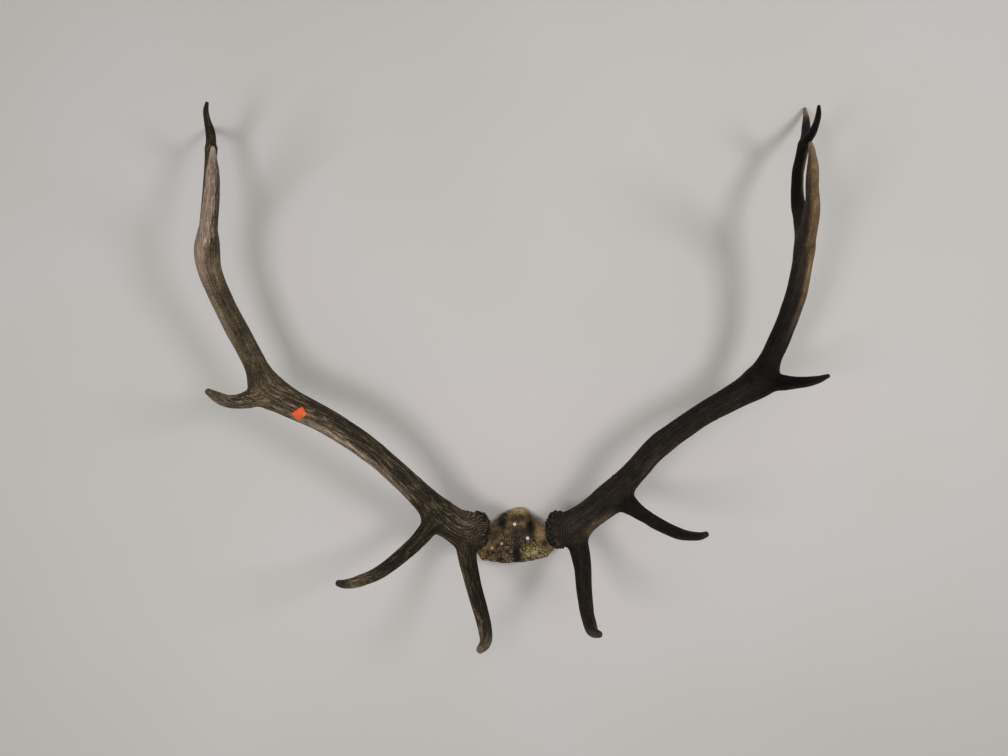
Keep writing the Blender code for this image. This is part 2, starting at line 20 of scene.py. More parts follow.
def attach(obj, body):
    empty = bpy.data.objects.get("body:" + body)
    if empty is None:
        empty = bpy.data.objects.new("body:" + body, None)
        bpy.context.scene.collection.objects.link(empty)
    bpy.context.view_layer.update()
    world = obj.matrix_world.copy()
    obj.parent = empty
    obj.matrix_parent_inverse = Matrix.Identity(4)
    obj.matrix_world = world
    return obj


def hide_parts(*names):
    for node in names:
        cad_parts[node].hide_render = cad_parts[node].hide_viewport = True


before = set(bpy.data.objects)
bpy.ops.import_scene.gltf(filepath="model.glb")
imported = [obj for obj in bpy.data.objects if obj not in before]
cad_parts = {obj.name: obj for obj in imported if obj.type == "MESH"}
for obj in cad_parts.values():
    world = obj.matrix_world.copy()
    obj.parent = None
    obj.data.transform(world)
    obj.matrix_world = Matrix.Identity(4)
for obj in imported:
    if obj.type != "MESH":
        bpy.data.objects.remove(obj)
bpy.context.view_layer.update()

# %% [markdown]
# ## Centre lines
# A tine is easiest to describe as a bent line with a thickness at each of its points, the way a
# carver would bend a wire and wrap it. Each row is a place in millimetres and a radius. The burr axis is
# the way an antler leaves the skull, and the fine rings behind its burr lie round the ring centre. The
# rack was laid out around its own middle, and a small move puts it over the origin, where the CAD is.

# %% The centre lines of both antlers
MM = 0.001
RACK_MOVE = (-3.454, 10.142, 0.0)

LEFT = {
    "burr_axis": (-0.72, 0.24, 0.65),
    "ring_centre": (-40, -333, 78),
    "beam": [
        (-40, -305, 57, 25.5), (-58, -298, 69, 26.5), (-80, -290, 77, 26), (-105, -269, 86, 24.3),
        (-126, -244, 99, 21),
        (-156, -209, 118, 18.7), (-194, -169, 134, 18.3), (-235, -135, 143, 19), (-285, -105, 141, 19.8),
        (-340, -80, 129, 22.5), (-372, -60, 121, 23.5), (-392, -20, 119, 17.3), (-412, 22, 123, 17),
        (-435, 78, 136, 16.5), (-446, 120, 150, 17), (-447, 152, 157, 16.5), (-446, 188, 153, 13),
        (-449, 228, 140, 10.2), (-454, 275, 119, 9.2), (-460, 314, 98, 8.8), (-476, 339, 60, 6.8),
        (-489, 356, 30, 5.4), (-501, 370, 0.9, 3.0)],
    "brow": [
        (-72, -300, 72, 18), (-62, -324, 90, 15.9), (-57, -343, 112, 13.8), (-47, -368, 148, 12.6),
        (-33, -398, 195, 11.4), (-27, -413, 222, 10), (-27, -418, 247, 8.5), (-35, -417, 275, 5)],
    "bez": [
        (-105, -271, 85, 20), (-120, -286, 104, 15.5), (-142, -307, 135, 12), (-164, -320, 170, 11),
        (-186, -328, 208, 9.8), (-206, -327, 247, 8.2), (-219, -320, 280, 6.4), (-226, -311, 302, 4)],
    "trez": [
        (-370, -62, 120, 21), (-388, -74, 148, 15), (-397, -76, 177, 11), (-403, -73, 206, 9.6),
        (-407, -65, 234, 7.8), (-410, -53, 266, 4)],
    "dagger": [
        (-448, 150, 156, 15), (-429.5, 190, 192, 12.6), (-410.5, 218, 230, 10.8), (-393, 236, 270, 9.2),
        (-375, 247, 316, 6.0), (-358, 255, 360, 2.4)],
    "front": [
        (-460, 313, 98, 8), (-451, 331, 122, 7), (-444, 343, 152, 5), (-438, 352, 172, 4),
        (-430, 361, 187, 2.2)],
}

RIGHT = {
    "burr_axis": (0.72, 0.22, 0.66),
    "ring_centre": (190, -285, 150),
    "beam": [
        (86.5, -303.5, 57, 25.5), (105, -297, 69, 25.5), (124.5, -284.5, 76, 24.2), (158.5, -255, 88, 23.3),
        (184, -225, 98, 20.8),
        (210, -193, 112, 18.8), (244, -149, 130, 18.2), (303, -102, 143, 17.8), (352, -75, 138, 19.4),
        (398, -50, 123, 22.5), (418.5, -15, 119, 16.6), (433.5, 22, 121, 16), (443, 56, 129, 15.8),
        (450, 98, 142, 15.2), (453, 154, 157, 14.2), (450, 190, 153, 12), (447, 228, 140, 9.8),
        (453, 269, 122, 9.2), (464, 303, 107, 9), (473, 325, 94, 8.2), (488, 350, 60, 6.6),
        (500, 377, 30, 5.5), (508, 405, 1.0, 2.4)],
    "brow": [
        (119, -298, 70, 18.5), (123, -324, 86, 16.5), (126, -350, 115, 14), (125, -374, 147, 12.2),
        (126, -396, 180, 11), (128, -406, 210, 9.6), (129, -405, 238, 8.0), (135, -396, 270, 4.3)],
    "bez": [
        (170, -243, 91, 20), (196, -246, 114, 15.6), (213, -254, 145, 11), (234, -262, 182, 10),
        (255, -265, 222, 8.3), (271, -258, 262, 6.2), (279, -248, 286, 3.6)],
    "trez": [
        (402, -48, 121, 21), (424, -50, 148, 14), (434, -48, 176, 9.6), (440, -45, 204, 8.2),
        (445, -40, 234, 6), (449, -32, 264, 2.6)],
    "dagger": [
        (451, 150, 156, 13.5), (446, 184, 190, 12.6), (436.5, 209, 222, 10.6), (422, 229, 256, 9),
        (406, 244, 296, 7.4), (387, 254, 340, 4.6), (374, 259, 366, 2.4)],
    "front": [
        (470, 321, 96, 8), (471, 330, 126, 6.8), (467, 338, 152, 5.2), (462, 346, 172, 4.2),
        (456, 356, 188, 2.2)],
}
TINES = ("brow", "bez", "trez", "dagger", "front")
print("points on the left lines:", {name: len(LEFT[name]) for name in ("beam", *TINES)})

# %% [markdown]
# ## From points to a smooth line
# A rounded curve through the points is read off at equal steps. At each step two directions across the
# line are kept as well. They turn with the line and never twist, so furrows can follow them later.

# %% Read a centre line
LINE_PARTS = 12
LINE_STEP = 2.0
TIP_ROUND = 0.85


def unit(rows):
    return rows / np.maximum(1e-9, np.linalg.norm(rows, axis=-1, keepdims=True))


def read_line(points, step=LINE_STEP, lift=0.0, axis=None):
    """A rounded line through the points, as arrays: place, radius, run, along, side and up."""
    rows = np.array(points, float)
    rows[:, :3] += RACK_MOVE
    if lift:
        rows[0, :3] += np.array(axis) * lift
    rows = np.vstack([2 * rows[0] - rows[1], rows, 2 * rows[-1] - rows[-2]])
    t = np.linspace(0, 1, LINE_PARTS, endpoint=False)[:, None]
    fine = [0.5 * (2 * b + (c - a) * t + (2 * a - 5 * b + 4 * c - d) * t ** 2
                   + (3 * b - a - 3 * c + d) * t ** 3)
            for a, b, c, d in zip(rows, rows[1:], rows[2:], rows[3:])]
    fine = np.vstack(fine + [rows[-2:-1]])
    lengths = np.linalg.norm(np.diff(fine[:, :3], axis=0), axis=1)
    passed = np.concatenate([[0.0], np.cumsum(lengths)])
    last = passed[-1] - TIP_ROUND * rows[-2, 3]
    run = np.linspace(0, last, max(4, round(last / step)) + 1)
    place = np.column_stack([np.interp(run, passed, fine[:, i]) for i in range(3)])
    along = unit(np.gradient(place, axis=0))
    if axis is not None:
        along[0] = axis
    side = np.cross(along[0], (0.0, 0.0, 1.0))
    sides = []
    for direction in along:
        side = unit(side - direction * (side @ direction))
        sides.append(side)
    sides = np.array(sides)
    return {"place": place, "radius": np.interp(run, passed, fine[:, 3]), "run": run, "along": along,
            "side": sides, "up": np.cross(along, sides)}


# %% [markdown]
# ## A tube from a line
# A circle is drawn once and then extruded from ring to ring along the line, and both ends are closed.
# A turned shape, such as the burr, is the same along a straight axis. These tubes are only the rough
# body, like clay on a wire: the skin is shaped afterwards.

# %% Draw a tube into a bmesh
ROUGH_SIDES = 20
ROUGH_STEP = 6.0


def place_ring(verts, middle, side, up, radius):
    for k, vert in enumerate(verts):
        angle = 2 * math.pi * k / len(verts)
        vert.co = Vector(middle + (side * math.cos(angle) + up * math.sin(angle)) * radius) * MM


def draw_tube(bm, line, radii=None):
    """Extrude a circle along a line and close both ends."""
    radii = line["radius"] if radii is None else radii
    ring = bmesh.ops.create_circle(bm, cap_ends=False, segments=ROUGH_SIDES, radius=1.0)["verts"]
    edges = list({edge for vert in ring for edge in vert.link_edges})
    first = list(edges)
    place_ring(ring, line["place"][0], line["side"][0], line["up"][0], radii[0])
    for i in range(1, len(radii)):
        grown = bmesh.ops.extrude_edge_only(bm, edges=edges)["geom"]
        new_verts = {v for v in grown if isinstance(v, bmesh.types.BMVert)}
        ring = [next(e.other_vert(v) for e in v.link_edges if e.other_vert(v) in new_verts) for v in ring]
        edges = [e for e in grown if isinstance(e, bmesh.types.BMEdge)
                 and e.verts[0] in new_verts and e.verts[1] in new_verts]
        place_ring(ring, line["place"][i], line["side"][i], line["up"][i], radii[i])
    bmesh.ops.contextual_create(bm, geom=first)
    bmesh.ops.contextual_create(bm, geom=edges)


def draw_turned(bm, foot, axis, profile):
    """Draw a turned shape on an axis, from rows of height and radius."""
    side = unit(np.cross(axis, (0.0, 0.0, 1.0)))
    rows = len(profile)
    line = {"place": np.array([foot + axis * height for height, _ in profile]),
            "side": np.array([side] * rows), "up": np.array([np.cross(axis, side)] * rows)}
    draw_tube(bm, line, [radius for _, radius in profile])


# %% [markdown]
# ## One skin over many tubes
# A bone that forks has no seams. The Remesh modifier in voxel mode wraps one even skin round all the
# tubes at once.

# %% Wrap one skin
VOXEL = 1.3


def as_object(name, bm):
    """A new object in the scene that takes the bmesh as its mesh."""
    mesh = bpy.data.meshes.new(name)
    bm.to_mesh(mesh)
    bm.free()
    obj = bpy.data.objects.new(name, mesh)
    bpy.context.scene.collection.objects.link(obj)
    return obj


def keep_modified(obj):
    """Make what the modifiers show the object's own mesh."""
    bpy.context.view_layer.update()
    result = bpy.data.meshes.new_from_object(obj.evaluated_get(bpy.context.evaluated_depsgraph_get()))
    obj.modifiers.clear()
    obj.data = result


def wrap_skin(name, bm, voxel):
    """Turn overlapping closed shapes into one object with one even skin."""
    bmesh.ops.recalc_face_normals(bm, faces=bm.faces)
    obj = as_object(name, bm)
    skin = obj.modifiers.new("one_skin", "REMESH")
    skin.mode = "VOXEL"
    skin.voxel_size = voxel * MM
    keep_modified(obj)
    return obj


def read_points(obj):
    points = np.empty(len(obj.data.vertices) * 3)
    obj.data.vertices.foreach_get("co", points)
    return points.reshape(-1, 3) / MM


def write_points(obj, points):
    obj.data.vertices.foreach_set("co", (points * MM).ravel())
    obj.data.update()


# %% [markdown]
# ## Where is a point on the antler?
# Every point of the skin is asked how far it lies outside each tube, which way is out, how far along
# the tube it is, and where around it. With those answers the skin can be shaped like soft clay.

# %% Measure points against a line
CHUNK = 20000


def measure(points, line):
    """Distance outside the tube, direction out, run along the tube and the two shares across it."""
    place = line["place"]
    squares = (place ** 2).sum(1)
    nearest = np.concatenate([np.argmin(squares - 2 * part @ place.T, axis=1)
                              for part in np.array_split(points, max(1, len(points) // CHUNK))])
    along = line["along"][nearest]
    slide = ((points - place[nearest]) * along).sum(1)
    slide = np.clip(slide, np.where(nearest == 0, 0.0, -LINE_STEP),
                    np.where(nearest == len(place) - 1, 0.0, LINE_STEP))
    out = points - place[nearest] - along * slide[:, None]
    far = np.linalg.norm(out, axis=1)
    out = unit(out)
    run = line["run"][nearest] + slide
    across = np.column_stack([(out * line["side"][nearest]).sum(1), (out * line["up"][nearest]).sum(1)])
    return far - np.interp(run, line["run"], line["radius"]), out, run, across


# %% [markdown]
# ## The burr
# The burr is the coarse ring of fused knobs around the foot of an antler. It is a short turned shape,
# given by its radius at each height, with beads of bone raised on its rim.

# %% Measure points against the burr
BURR_RADIUS = 29.5
BURR_PROFILE = ((0.0, 0.80), (1.5, 0.97), (6.0, 1.06), (11.0, 0.99), (15.0, 0.84), (19.0, 0.60))
BEAM_FOOT_LIFT = 3.0
BEAD_WIDTH = 6.2
BEAD_HEIGHT = 5.2
BEAD_SPREAD = 0.72


def foot_and_axis(shape):
    """The middle of an antler's foot and the way that the antler leaves it."""
    return np.array(shape["beam"][0][:3]) + RACK_MOVE, unit(np.array(shape["burr_axis"], float))


def bead(place):
    """A rounded bump, 1 at the middle of each bead and 0 between beads."""
    nearest = noise.voronoi(Vector(place) / BEAD_WIDTH)[0][0]
    return max(0.0, 1 - (nearest / BEAD_SPREAD) ** 2)


def measure_burr(points, shape):
    """Distance outside the burr, direction out, and height above the antler's foot."""
    foot, axis = foot_and_axis(shape)
    offset = points - foot
    height = offset @ axis
    out = offset - height[:, None] * axis
    far = np.linalg.norm(out, axis=1)
    out = unit(out)
    rises, shares = zip(*BURR_PROFILE)
    radius = BURR_RADIUS * np.interp(height, rises, shares)
    above = np.hypot(height - rises[-1], np.maximum(0, far - radius))
    return np.where(height > rises[-1], above, far - radius), out, height


# %% [markdown]
# ## Soft forks
# Bone flows round a fork in a soft web. Adding the tubes' distances with exponentials, instead of
# taking the nearest one, gives exactly such a web. A thick fork has a wide web and a thin one a tight
# web, so the softness is a share of the radius nearby.

# %% Blend the tubes
FORK_SOFTNESS = 0.40
SOFTNESS_LIMITS = (2.2, 8.5)
SOFTNESS_REACH = 8.0
BURR_SOFTNESS = 2.2
ROOT_THIN = 0.34
ROOT_LENGTH = 2.2


def antler_lines(shape):
    """All centre lines of one antler, with each tine's hidden root a little thinner."""
    axis = foot_and_axis(shape)[1]
    lines = {"beam": read_line(shape["beam"], lift=BEAM_FOOT_LIFT, axis=axis)}
    for tine in TINES:
        line = read_line(shape[tine])
        length = ROOT_LENGTH * line["radius"][0]
        line["radius"] = line["radius"] * (1 - ROOT_THIN * np.clip(1 - line["run"] / length, 0, 1))
        lines[tine] = line
    return lines


def blend(points, shape, lines):
    """Distance outside the soft union, the way out, and each line's share, run and sides."""
    found = {name: measure(points, line) for name, line in lines.items()}
    apart = np.array([found[name][0] for name in lines])
    nearest = apart.min(0)
    radii = np.array([np.interp(found[name][2], line["run"], line["radius"]) for name, line in lines.items()])
    close = np.exp(-(apart - nearest) / SOFTNESS_REACH)
    soft = np.clip(FORK_SOFTNESS * (close * radii).sum(0) / close.sum(0), *SOFTNESS_LIMITS)
    pull = np.exp(-(apart - nearest) / soft)
    total = pull.sum(0)
    share = pull / total
    distance = nearest - soft * np.log(total)
    out = sum(share[i][:, None] * found[name][1] for i, name in enumerate(lines))
    burr, burr_out, height = measure_burr(points, shape)
    low = np.minimum(distance, burr)
    pull_tube = np.exp(-(distance - low) / BURR_SOFTNESS)
    pull_burr = np.exp(-(burr - low) / BURR_SOFTNESS)
    near_burr = pull_burr / (pull_tube + pull_burr)
    distance = low - BURR_SOFTNESS * np.log(pull_tube + pull_burr)
    out = unit(out * (1 - near_burr)[:, None] + burr_out * near_burr[:, None])
    return distance, out, share, found, near_burr, height


# %% [markdown]
# ## Shape the skin
# The wrapped skin is moved onto the soft shape in a few small steps, with a little smoothing between
# them so that the mesh stays even. The flat foot, where the antler meets the skull, stays put.

# %% Move the skin onto the shape
FOOT_ZONE = (0.4, 2.6)
LONGEST_MOVE = 3.0
SMOOTHINGS = (2, 2, 1, 0)


def ease(value, low, high):
    """0 below low, 1 above high, and a soft step between."""
    share = np.clip((value - low) / (high - low), 0, 1)
    return share * share * (3 - 2 * share)


def relax(points, edges, times, strength=0.5):
    """Move every point part of the way to the middle of its neighbours."""
    count = np.bincount(edges.ravel(), minlength=len(points))[:, None]
    for _ in range(times):
        total = np.column_stack([
            np.bincount(edges[:, 0], points[edges[:, 1], i], len(points))
            + np.bincount(edges[:, 1], points[edges[:, 0], i], len(points)) for i in range(3)])
        points = points + (total / np.maximum(1, count) - points) * strength
    return points


def read_edges(obj):
    edges = np.empty(len(obj.data.edges) * 2, np.int32)
    obj.data.edges.foreach_get("vertices", edges)
    return edges.reshape(-1, 2)


def free_of_foot(height):
    return ease(height, *FOOT_ZONE)[:, None]


def shape_skin(obj, shape, lines):
    points = read_points(obj)
    edges = read_edges(obj)
    for smoothing in SMOOTHINGS:
        distance, out, *_, height = blend(points, shape, lines)
        move = -np.clip(distance, -LONGEST_MOVE, LONGEST_MOVE)[:, None] * out
        free = free_of_foot(height)
        points = points + move * free
        if smoothing:
            points = points + (relax(points, edges, smoothing) - points) * free
    return points


# %% [markdown]
# ## Rough body of both antlers
# All tubes of an antler go into one bmesh together with the turned body of its burr.

# %% Build the rough bodies
def rough_antler(name, shape):
    bm = bmesh.new()
    foot, axis = foot_and_axis(shape)
    draw_tube(bm, read_line(shape["beam"], ROUGH_STEP, BEAM_FOOT_LIFT, axis))
    for tine in TINES:
        draw_tube(bm, read_line(shape[tine], ROUGH_STEP))
    draw_turned(bm, foot, axis, [(rise, BURR_RADIUS * share) for rise, share in BURR_PROFILE])
    return wrap_skin(name, bm, VOXEL)


antlers = {}
for antler_side, antler_shape in (("left", LEFT), ("right", RIGHT)):
    antlers[antler_side] = rough_antler(f"{antler_side}_antler", antler_shape)
    print(antler_side, "antler skin:", len(antlers[antler_side].data.polygons), "faces")

# %% [markdown]
# ## Furrows, ridges and streaks
# Blood vessels once lay on the growing bone, and they leave long wavy furrows. Noise that is stretched
# along the tine draws them: a furrow runs wherever one noise crosses zero. Furrows are deep near the
# burr and fade toward the tips, which the bull rubs smooth and pale. The same numbers are kept as
# attributes, so that the colour follows the shape: dark in the furrows, paler on the ridges.

# %% Draw the furrows of one line
FURROW_WIDTH = 3.6
FURROW_LENGTH = 58.0
FURROW_EDGE = 0.20
RIDGE_WIDTH = 6.2
RIDGE_LENGTH = 95.0
STREAK_WIDTH = 2.4
STREAK_LENGTH = 30.0


def furrows(run, across, radius, seed):
    """For points on one line: furrow depth 0 to 1, ridge -1 to 1 and streak -1 to 1."""
    rows = []
    for s, x, y in zip(run, across[:, 0] * radius, across[:, 1] * radius):
        channel = abs(noise.noise(Vector((x / FURROW_WIDTH, y / FURROW_WIDTH, s / FURROW_LENGTH + seed))))
        ridge = noise.noise(Vector((x / RIDGE_WIDTH, y / RIDGE_WIDTH, s / RIDGE_LENGTH - seed)))
        streak = noise.noise(Vector((x / STREAK_WIDTH, y / STREAK_WIDTH, s / STREAK_LENGTH + seed)))
        rows.append((max(0.0, 1 - channel / FURROW_EDGE), ridge, streak))
    return np.array(rows)


# %% [markdown]
# ## Tones
# Each tine has its own tone, from 0, nearly black, to 1, rubbed ivory. The tone is given at a few
# distances along each line. A few broad patches are painted light and shade: the side of a tine that
# faces the lamp on its side is made paler, and the side turned away from it darker.

# %% Tones along each line
LEFT_TONES = {
    "beam": ((0, .33), (80, .24), (300, .28), (400, .44), (500, .42), (600, .44), (690, .70), (725, .60),
             (755, .22), (850, .20), (950, .24)),
    "brow": ((0, .22), (60, .16), (140, .10), (200, .26), (250, .50)),
    "bez": ((0, .20), (120, .20), (180, .28), (225, .48), (250, .30), (270, .20)),
    "trez": ((0, .44), (60, .46), (130, .50), (160, .40)),
    "dagger": ((0, .68), (60, .74), (180, .72), (225, .74), (250, .84)),
    "front": ((0, .22), (60, .20), (110, .14)),
}
RIGHT_TONES = {
    "beam": ((0, .38), (80, .33), (200, .26), (330, .20), (450, .10), (540, .16), (610, .34), (670, .34),
             (705, .10), (740, .0), (865, .0), (900, .30), (932, .74), (952, .74), (962, .20)),
    "brow": ((0, .22), (120, .24), (200, .30), (250, .46)),
    "bez": ((0, .18), (160, .16), (215, .18), (235, .36)),
    "trez": ((0, .06), (110, .04), (160, .20)),
    "dagger": ((0, .56), (80, .68), (140, .66), (200, .78), (260, .74)),
    "front": ((0, .04), (110, .04)),
}
# Painted light and shade patches: line, from and to along it, the way they face, how much paler, how sharp
PAINTED_LIGHT_PATCHES = {
    "left": (("beam", 100, 400, (-0.62, -0.70, 0.25), 0.34, 0.25),
             ("beam", 470, 720, (-0.90, -0.30, 0.20), 0.20, 0.10),
             ("beam", 0, 90, (0.35, 0.75, 0.55), 0.12, 0.30),
             ("beam", 640, 840, (0.95, 0.0, 0.20), -0.20, 0.30),
             ("brow", 10, 260, (-0.95, -0.20, 0.20), 0.20, 0.20),
             ("dagger", -80, 260, (0.95, -0.05, 0.20), -0.36, 0.30)),
    "right": (("dagger", -80, 300, (-0.95, -0.10, 0.20), -0.26, 0.25),
              ("beam", 480, 700, (0.95, -0.10, 0.30), 0.40, 0.15),
              ("beam", 700, 830, (0.95, 0.0, 0.30), 0.60, 0.40),
              ("beam", 100, 420, (0.50, -0.75, 0.30), 0.12, 0.35),
              ("beam", 20, 140, (0.30, -0.90, 0.20), 0.26, 0.30)),
}
MOTTLE_SIZE = 15.0
MOTTLE = 0.07


def tone_of(side, shares, found, lines, out, points):
    tones = LEFT_TONES if side == "left" else RIGHT_TONES
    tone = np.zeros(len(out))
    for i, name in enumerate(lines):
        tone += shares[i] * np.interp(found[name][2], *zip(*tones[name]))
    for name, start, end, facing, change, edge in PAINTED_LIGHT_PATCHES[side]:
        here = shares[list(lines).index(name)]
        run = found[name][2]
        span = (end - start) * 0.25
        there = ease(run, start, start + span) * (1 - ease(run, end - span, end))
        # painted light and shade: the side facing the given way is made paler or darker
        turned = ease(out @ unit(np.array(facing)), edge, min(0.98, edge + 0.5))
        tone += change * here * there * turned
    blotch = np.array([noise.noise(Vector(p) / MOTTLE_SIZE) for p in points])
    return tone + MOTTLE * blotch


# %% [markdown]
# ## Marks of every line
# Each point is asked for the furrows of every line that it belongs to, and where tines meet they are
# mixed, so that a furrow fades into the fork. The places along and across a line are kept as well: they
# are the coordinates that the painted grain follows later.

# %% Gather the marks
LEAST_SHARE = 0.04
POLISH_LENGTH = 62.0
SEEDS = {"left": 3.0, "right": 11.0}


def gather_marks(lines, shares, found, seed):
    """Furrow, ridge and streak at every point, the polish of the tips, and each line's coordinates."""
    count = shares.shape[1]
    marks = np.zeros((count, 3))
    polish = np.zeros(count)
    grains = np.zeros((len(lines), count, 3))
    for i, (name, line) in enumerate(lines.items()):
        here = shares[i] > LEAST_SHARE
        run, across = found[name][2:]
        radius = np.interp(run, line["run"], line["radius"])
        made = furrows(run[here], across[here], radius[here], seed + 7.3 * i)
        marks[here] += made * shares[i][here, None]
        polish += shares[i] * ease(run, line["run"][-1] - POLISH_LENGTH, line["run"][-1])
        grains[i] = np.column_stack([across * radius[:, None], run + 1000 * i])
    marks /= np.maximum(0.3, (shares * (shares > LEAST_SHARE)).sum(0))[:, None]
    return marks, polish, grains


# %% [markdown]
# ## Rings, beads and pearls
# Behind the burr the bone is folded into fine wavy rings. They are drawn as a wave that spreads from a
# point, and noise makes it wander. The burr itself is a crown of beads, and small round pearls grow at
# random places on the lower beam.

# %% Draw rings, beads and pearls
RING_WAVE = 3.7
RING_WANDER = ((0.8, 19.0), (0.3, 6.0))
BEAD_MIDDLE = 0.45
PEARLS = 110
PEARL_WIDTHS = (2.4, 4.2)
PEARL_HEIGHTS = (0.3, 0.8)


def rings_and_beads(points, shape, near_burr, ring_here):
    """Rings behind the burr, from -1 to 1, and beads on it."""
    from_centre = np.linalg.norm(points - np.array(shape["ring_centre"]) - RACK_MOVE, axis=1)
    rings, beads = np.zeros((2, len(points)))
    for j in np.nonzero(ring_here > 0)[0]:
        wander = sum(much * noise.noise(Vector(points[j]) / size) for much, size in RING_WANDER)
        rings[j] = ring_here[j] * math.sin(2 * math.pi * (from_centre[j] / RING_WAVE + wander))
    for j in np.nonzero(near_burr > 0.05)[0]:
        beads[j] = near_burr[j] * (bead(points[j]) - BEAD_MIDDLE)
    return rings, beads


def raise_pearls(points, likely, seed):
    """Small rounded lumps at random places, more of them where likely is high."""
    pick = random.Random(seed)
    tree = KDTree(len(points))
    for i, point in enumerate(points):
        tree.insert(point, i)
    tree.balance()
    chances = np.cumsum(likely)
    height = np.zeros(len(points))
    for _ in range(PEARLS):
        i = int(np.searchsorted(chances, pick.random() * chances[-1]))
        wide = pick.uniform(*PEARL_WIDTHS)
        tall = pick.uniform(*PEARL_HEIGHTS)
        for _, j, far in tree.find_range(Vector(points[i]), wide):
            height[j] = max(height[j], tall * (1 - (far / wide) ** 2) ** 1.5)
    return height


# %% [markdown]
# ## Finish an antler
# Now all of these are pushed into the skin or raised on it. The numbers that the colours need are
# written on the points as attributes: the tone, the furrows and streaks, the polish of the tips, how
# near a point is to a tine, and where the grain is plain and speckled instead of long.

# %% Give an antler its surface
# How much of the furrows is lost at the tips, on tines and near the burr, and kept on the upper beam
TIP_LOSS = 0.85
TINE_LOSS = 0.3
BURR_LOSS = 0.75
UPPER_KEEP = 0.62
FURROWS_FADE = (100, 700)
FURROW_DEPTH = 1.0
RIDGE_HEIGHT = 0.9
STREAK_HEIGHT = 0.25
LUMP_SIZE = 42.0
LUMP_HEIGHT = 0.9
# Rings start and end at these heights above the foot, and end at this distance from it
RINGS_START = (9, 16)
RINGS_END = (26, 56)
RINGS_REACH = (42, 68)
RING_HEIGHT = 0.65
RING_TONE = {"left": 0.16, "right": 0.13}
# Painted highlight and shade on the burr: bead tops are made paler and the gaps between beads darker
BEAD_HIGHLIGHT_AND_SHADE = 0.45
RIM_HEIGHT = (9, 17)
# The lower rim of the burr, next to the skull, is made darker by this much
BURR_RIM_DARKENING = 0.16
PEARL_REACH = (120, 420)
PEARL_TONE = 0.05
FLOOR_GAP = 0.15
SPECKLE = {"left": 0.7, "right": 0.3}
SPECKLE_START = (370, 470)
SPECKLE_END = (690, 780)
PLAIN_RINGS = 0.9
FORK_MIX = (0.12, 0.95)


def write_attribute(obj, name, values, kind="FLOAT"):
    layer = obj.data.attributes.new(name, kind, "POINT")
    field = "vector" if kind == "FLOAT_VECTOR" else "value"
    layer.data.foreach_set(field, np.asarray(values, np.float32).ravel())


def finish_antler(side, shape):
    obj = antlers[side]
    lines = antler_lines(shape)
    points = shape_skin(obj, shape, lines)
    _, out, shares, found, near_burr, height = blend(points, shape, lines)
    seed = SEEDS[side]
    marks, polish, grains = gather_marks(lines, shares, found, seed)
    beam_run = found["beam"][2]
    from_foot = np.linalg.norm(points - foot_and_axis(shape)[0], axis=1)
    near_rings = (1 - ease(height, *RINGS_END)) * (1 - ease(from_foot, *RINGS_REACH))
    rings, beads = rings_and_beads(points, shape, near_burr, ease(height, *RINGS_START) * near_rings)
    lumps = np.array([noise.noise(Vector(p) / LUMP_SIZE + Vector((seed, 0, 0))) for p in points])
    likely = shares[0] * (1 - ease(beam_run, *PEARL_REACH)) * (1 - near_burr) + 1e-6
    pearls = raise_pearls(points, likely, int(seed))

    rough = (1 - TIP_LOSS * polish) * (1 - (1 - UPPER_KEEP) * ease(beam_run, *FURROWS_FADE))
    rough *= 1 - TINE_LOSS * (1 - shares[0]) * (1 - near_burr)
    rough *= 1 - BURR_LOSS * np.maximum(near_burr, near_rings)
    rise = (RIDGE_HEIGHT * marks[:, 1] + STREAK_HEIGHT * marks[:, 2] - FURROW_DEPTH * marks[:, 0]) * rough
    rise += (LUMP_HEIGHT * lumps + pearls) * (1 - polish) + RING_HEIGHT * rings + BEAD_HEIGHT * beads
    points = points + out * rise[:, None] * free_of_foot(height)
    points[:, 2] = np.maximum(points[:, 2], FLOOR_GAP)
    write_points(obj, points)

    rim = near_burr * (1 - ease(height, *RIM_HEIGHT))
    tone = tone_of(side, shares, found, lines, out, points)
    # the beads add painted highlight on their tops and painted shade between them
    tone += pearls * PEARL_TONE + beads * BEAD_HIGHLIGHT_AND_SHADE - rim * BURR_RIM_DARKENING + rings * RING_TONE[side]
    tine = 1 + shares[1:].argmax(0)
    everyone = np.arange(len(points))
    tine_share = shares[tine, everyone]
    speckled = SPECKLE[side] * shares[0] * ease(beam_run, *SPECKLE_START) * (1 - ease(beam_run, *SPECKLE_END))
    for name, values in (("tone", tone), ("polish", polish),
                         ("furrow", marks[:, 0] * rough + np.clip(-rings, 0, 1) * 0.7),
                         ("streak", marks[:, 2] * 0.6 + marks[:, 1] * 0.8),
                         ("fork", ease(tine_share / (tine_share + shares[0]), *FORK_MIX)),
                         ("plain", np.maximum(PLAIN_RINGS * near_rings, speckled))):
        write_attribute(obj, name, values)
    for name, values in (("grain", grains[0]), ("branch", grains[tine, everyone])):
        write_attribute(obj, name, values * MM, "FLOAT_VECTOR")
    print(side, "antler:", len(points), "points, rise in mm", rise.min().round(2), "to", rise.max().round(2))
    return lines


antler_centre = {"left": finish_antler("left", LEFT), "right": finish_antler("right", RIGHT)}

# %% [markdown]
# ## A lower and an upper part
# A mesh with too many faces is slow to handle, so each antler is parted above its trez tine. Both parts
# share the same cut, so no gap shows, and the cut is closed on each side.

# %% Part each antler above the trez tine
PART_AT = {"left": 494.5, "right": 488.5}
LOWER_NODES = ("lower_beam", "brow_tine", "bez_tine", "trez_tine")
UPPER_NODES = ("upper_beam", "dagger_tine", "crown_beam", "front_point", "rear_point")


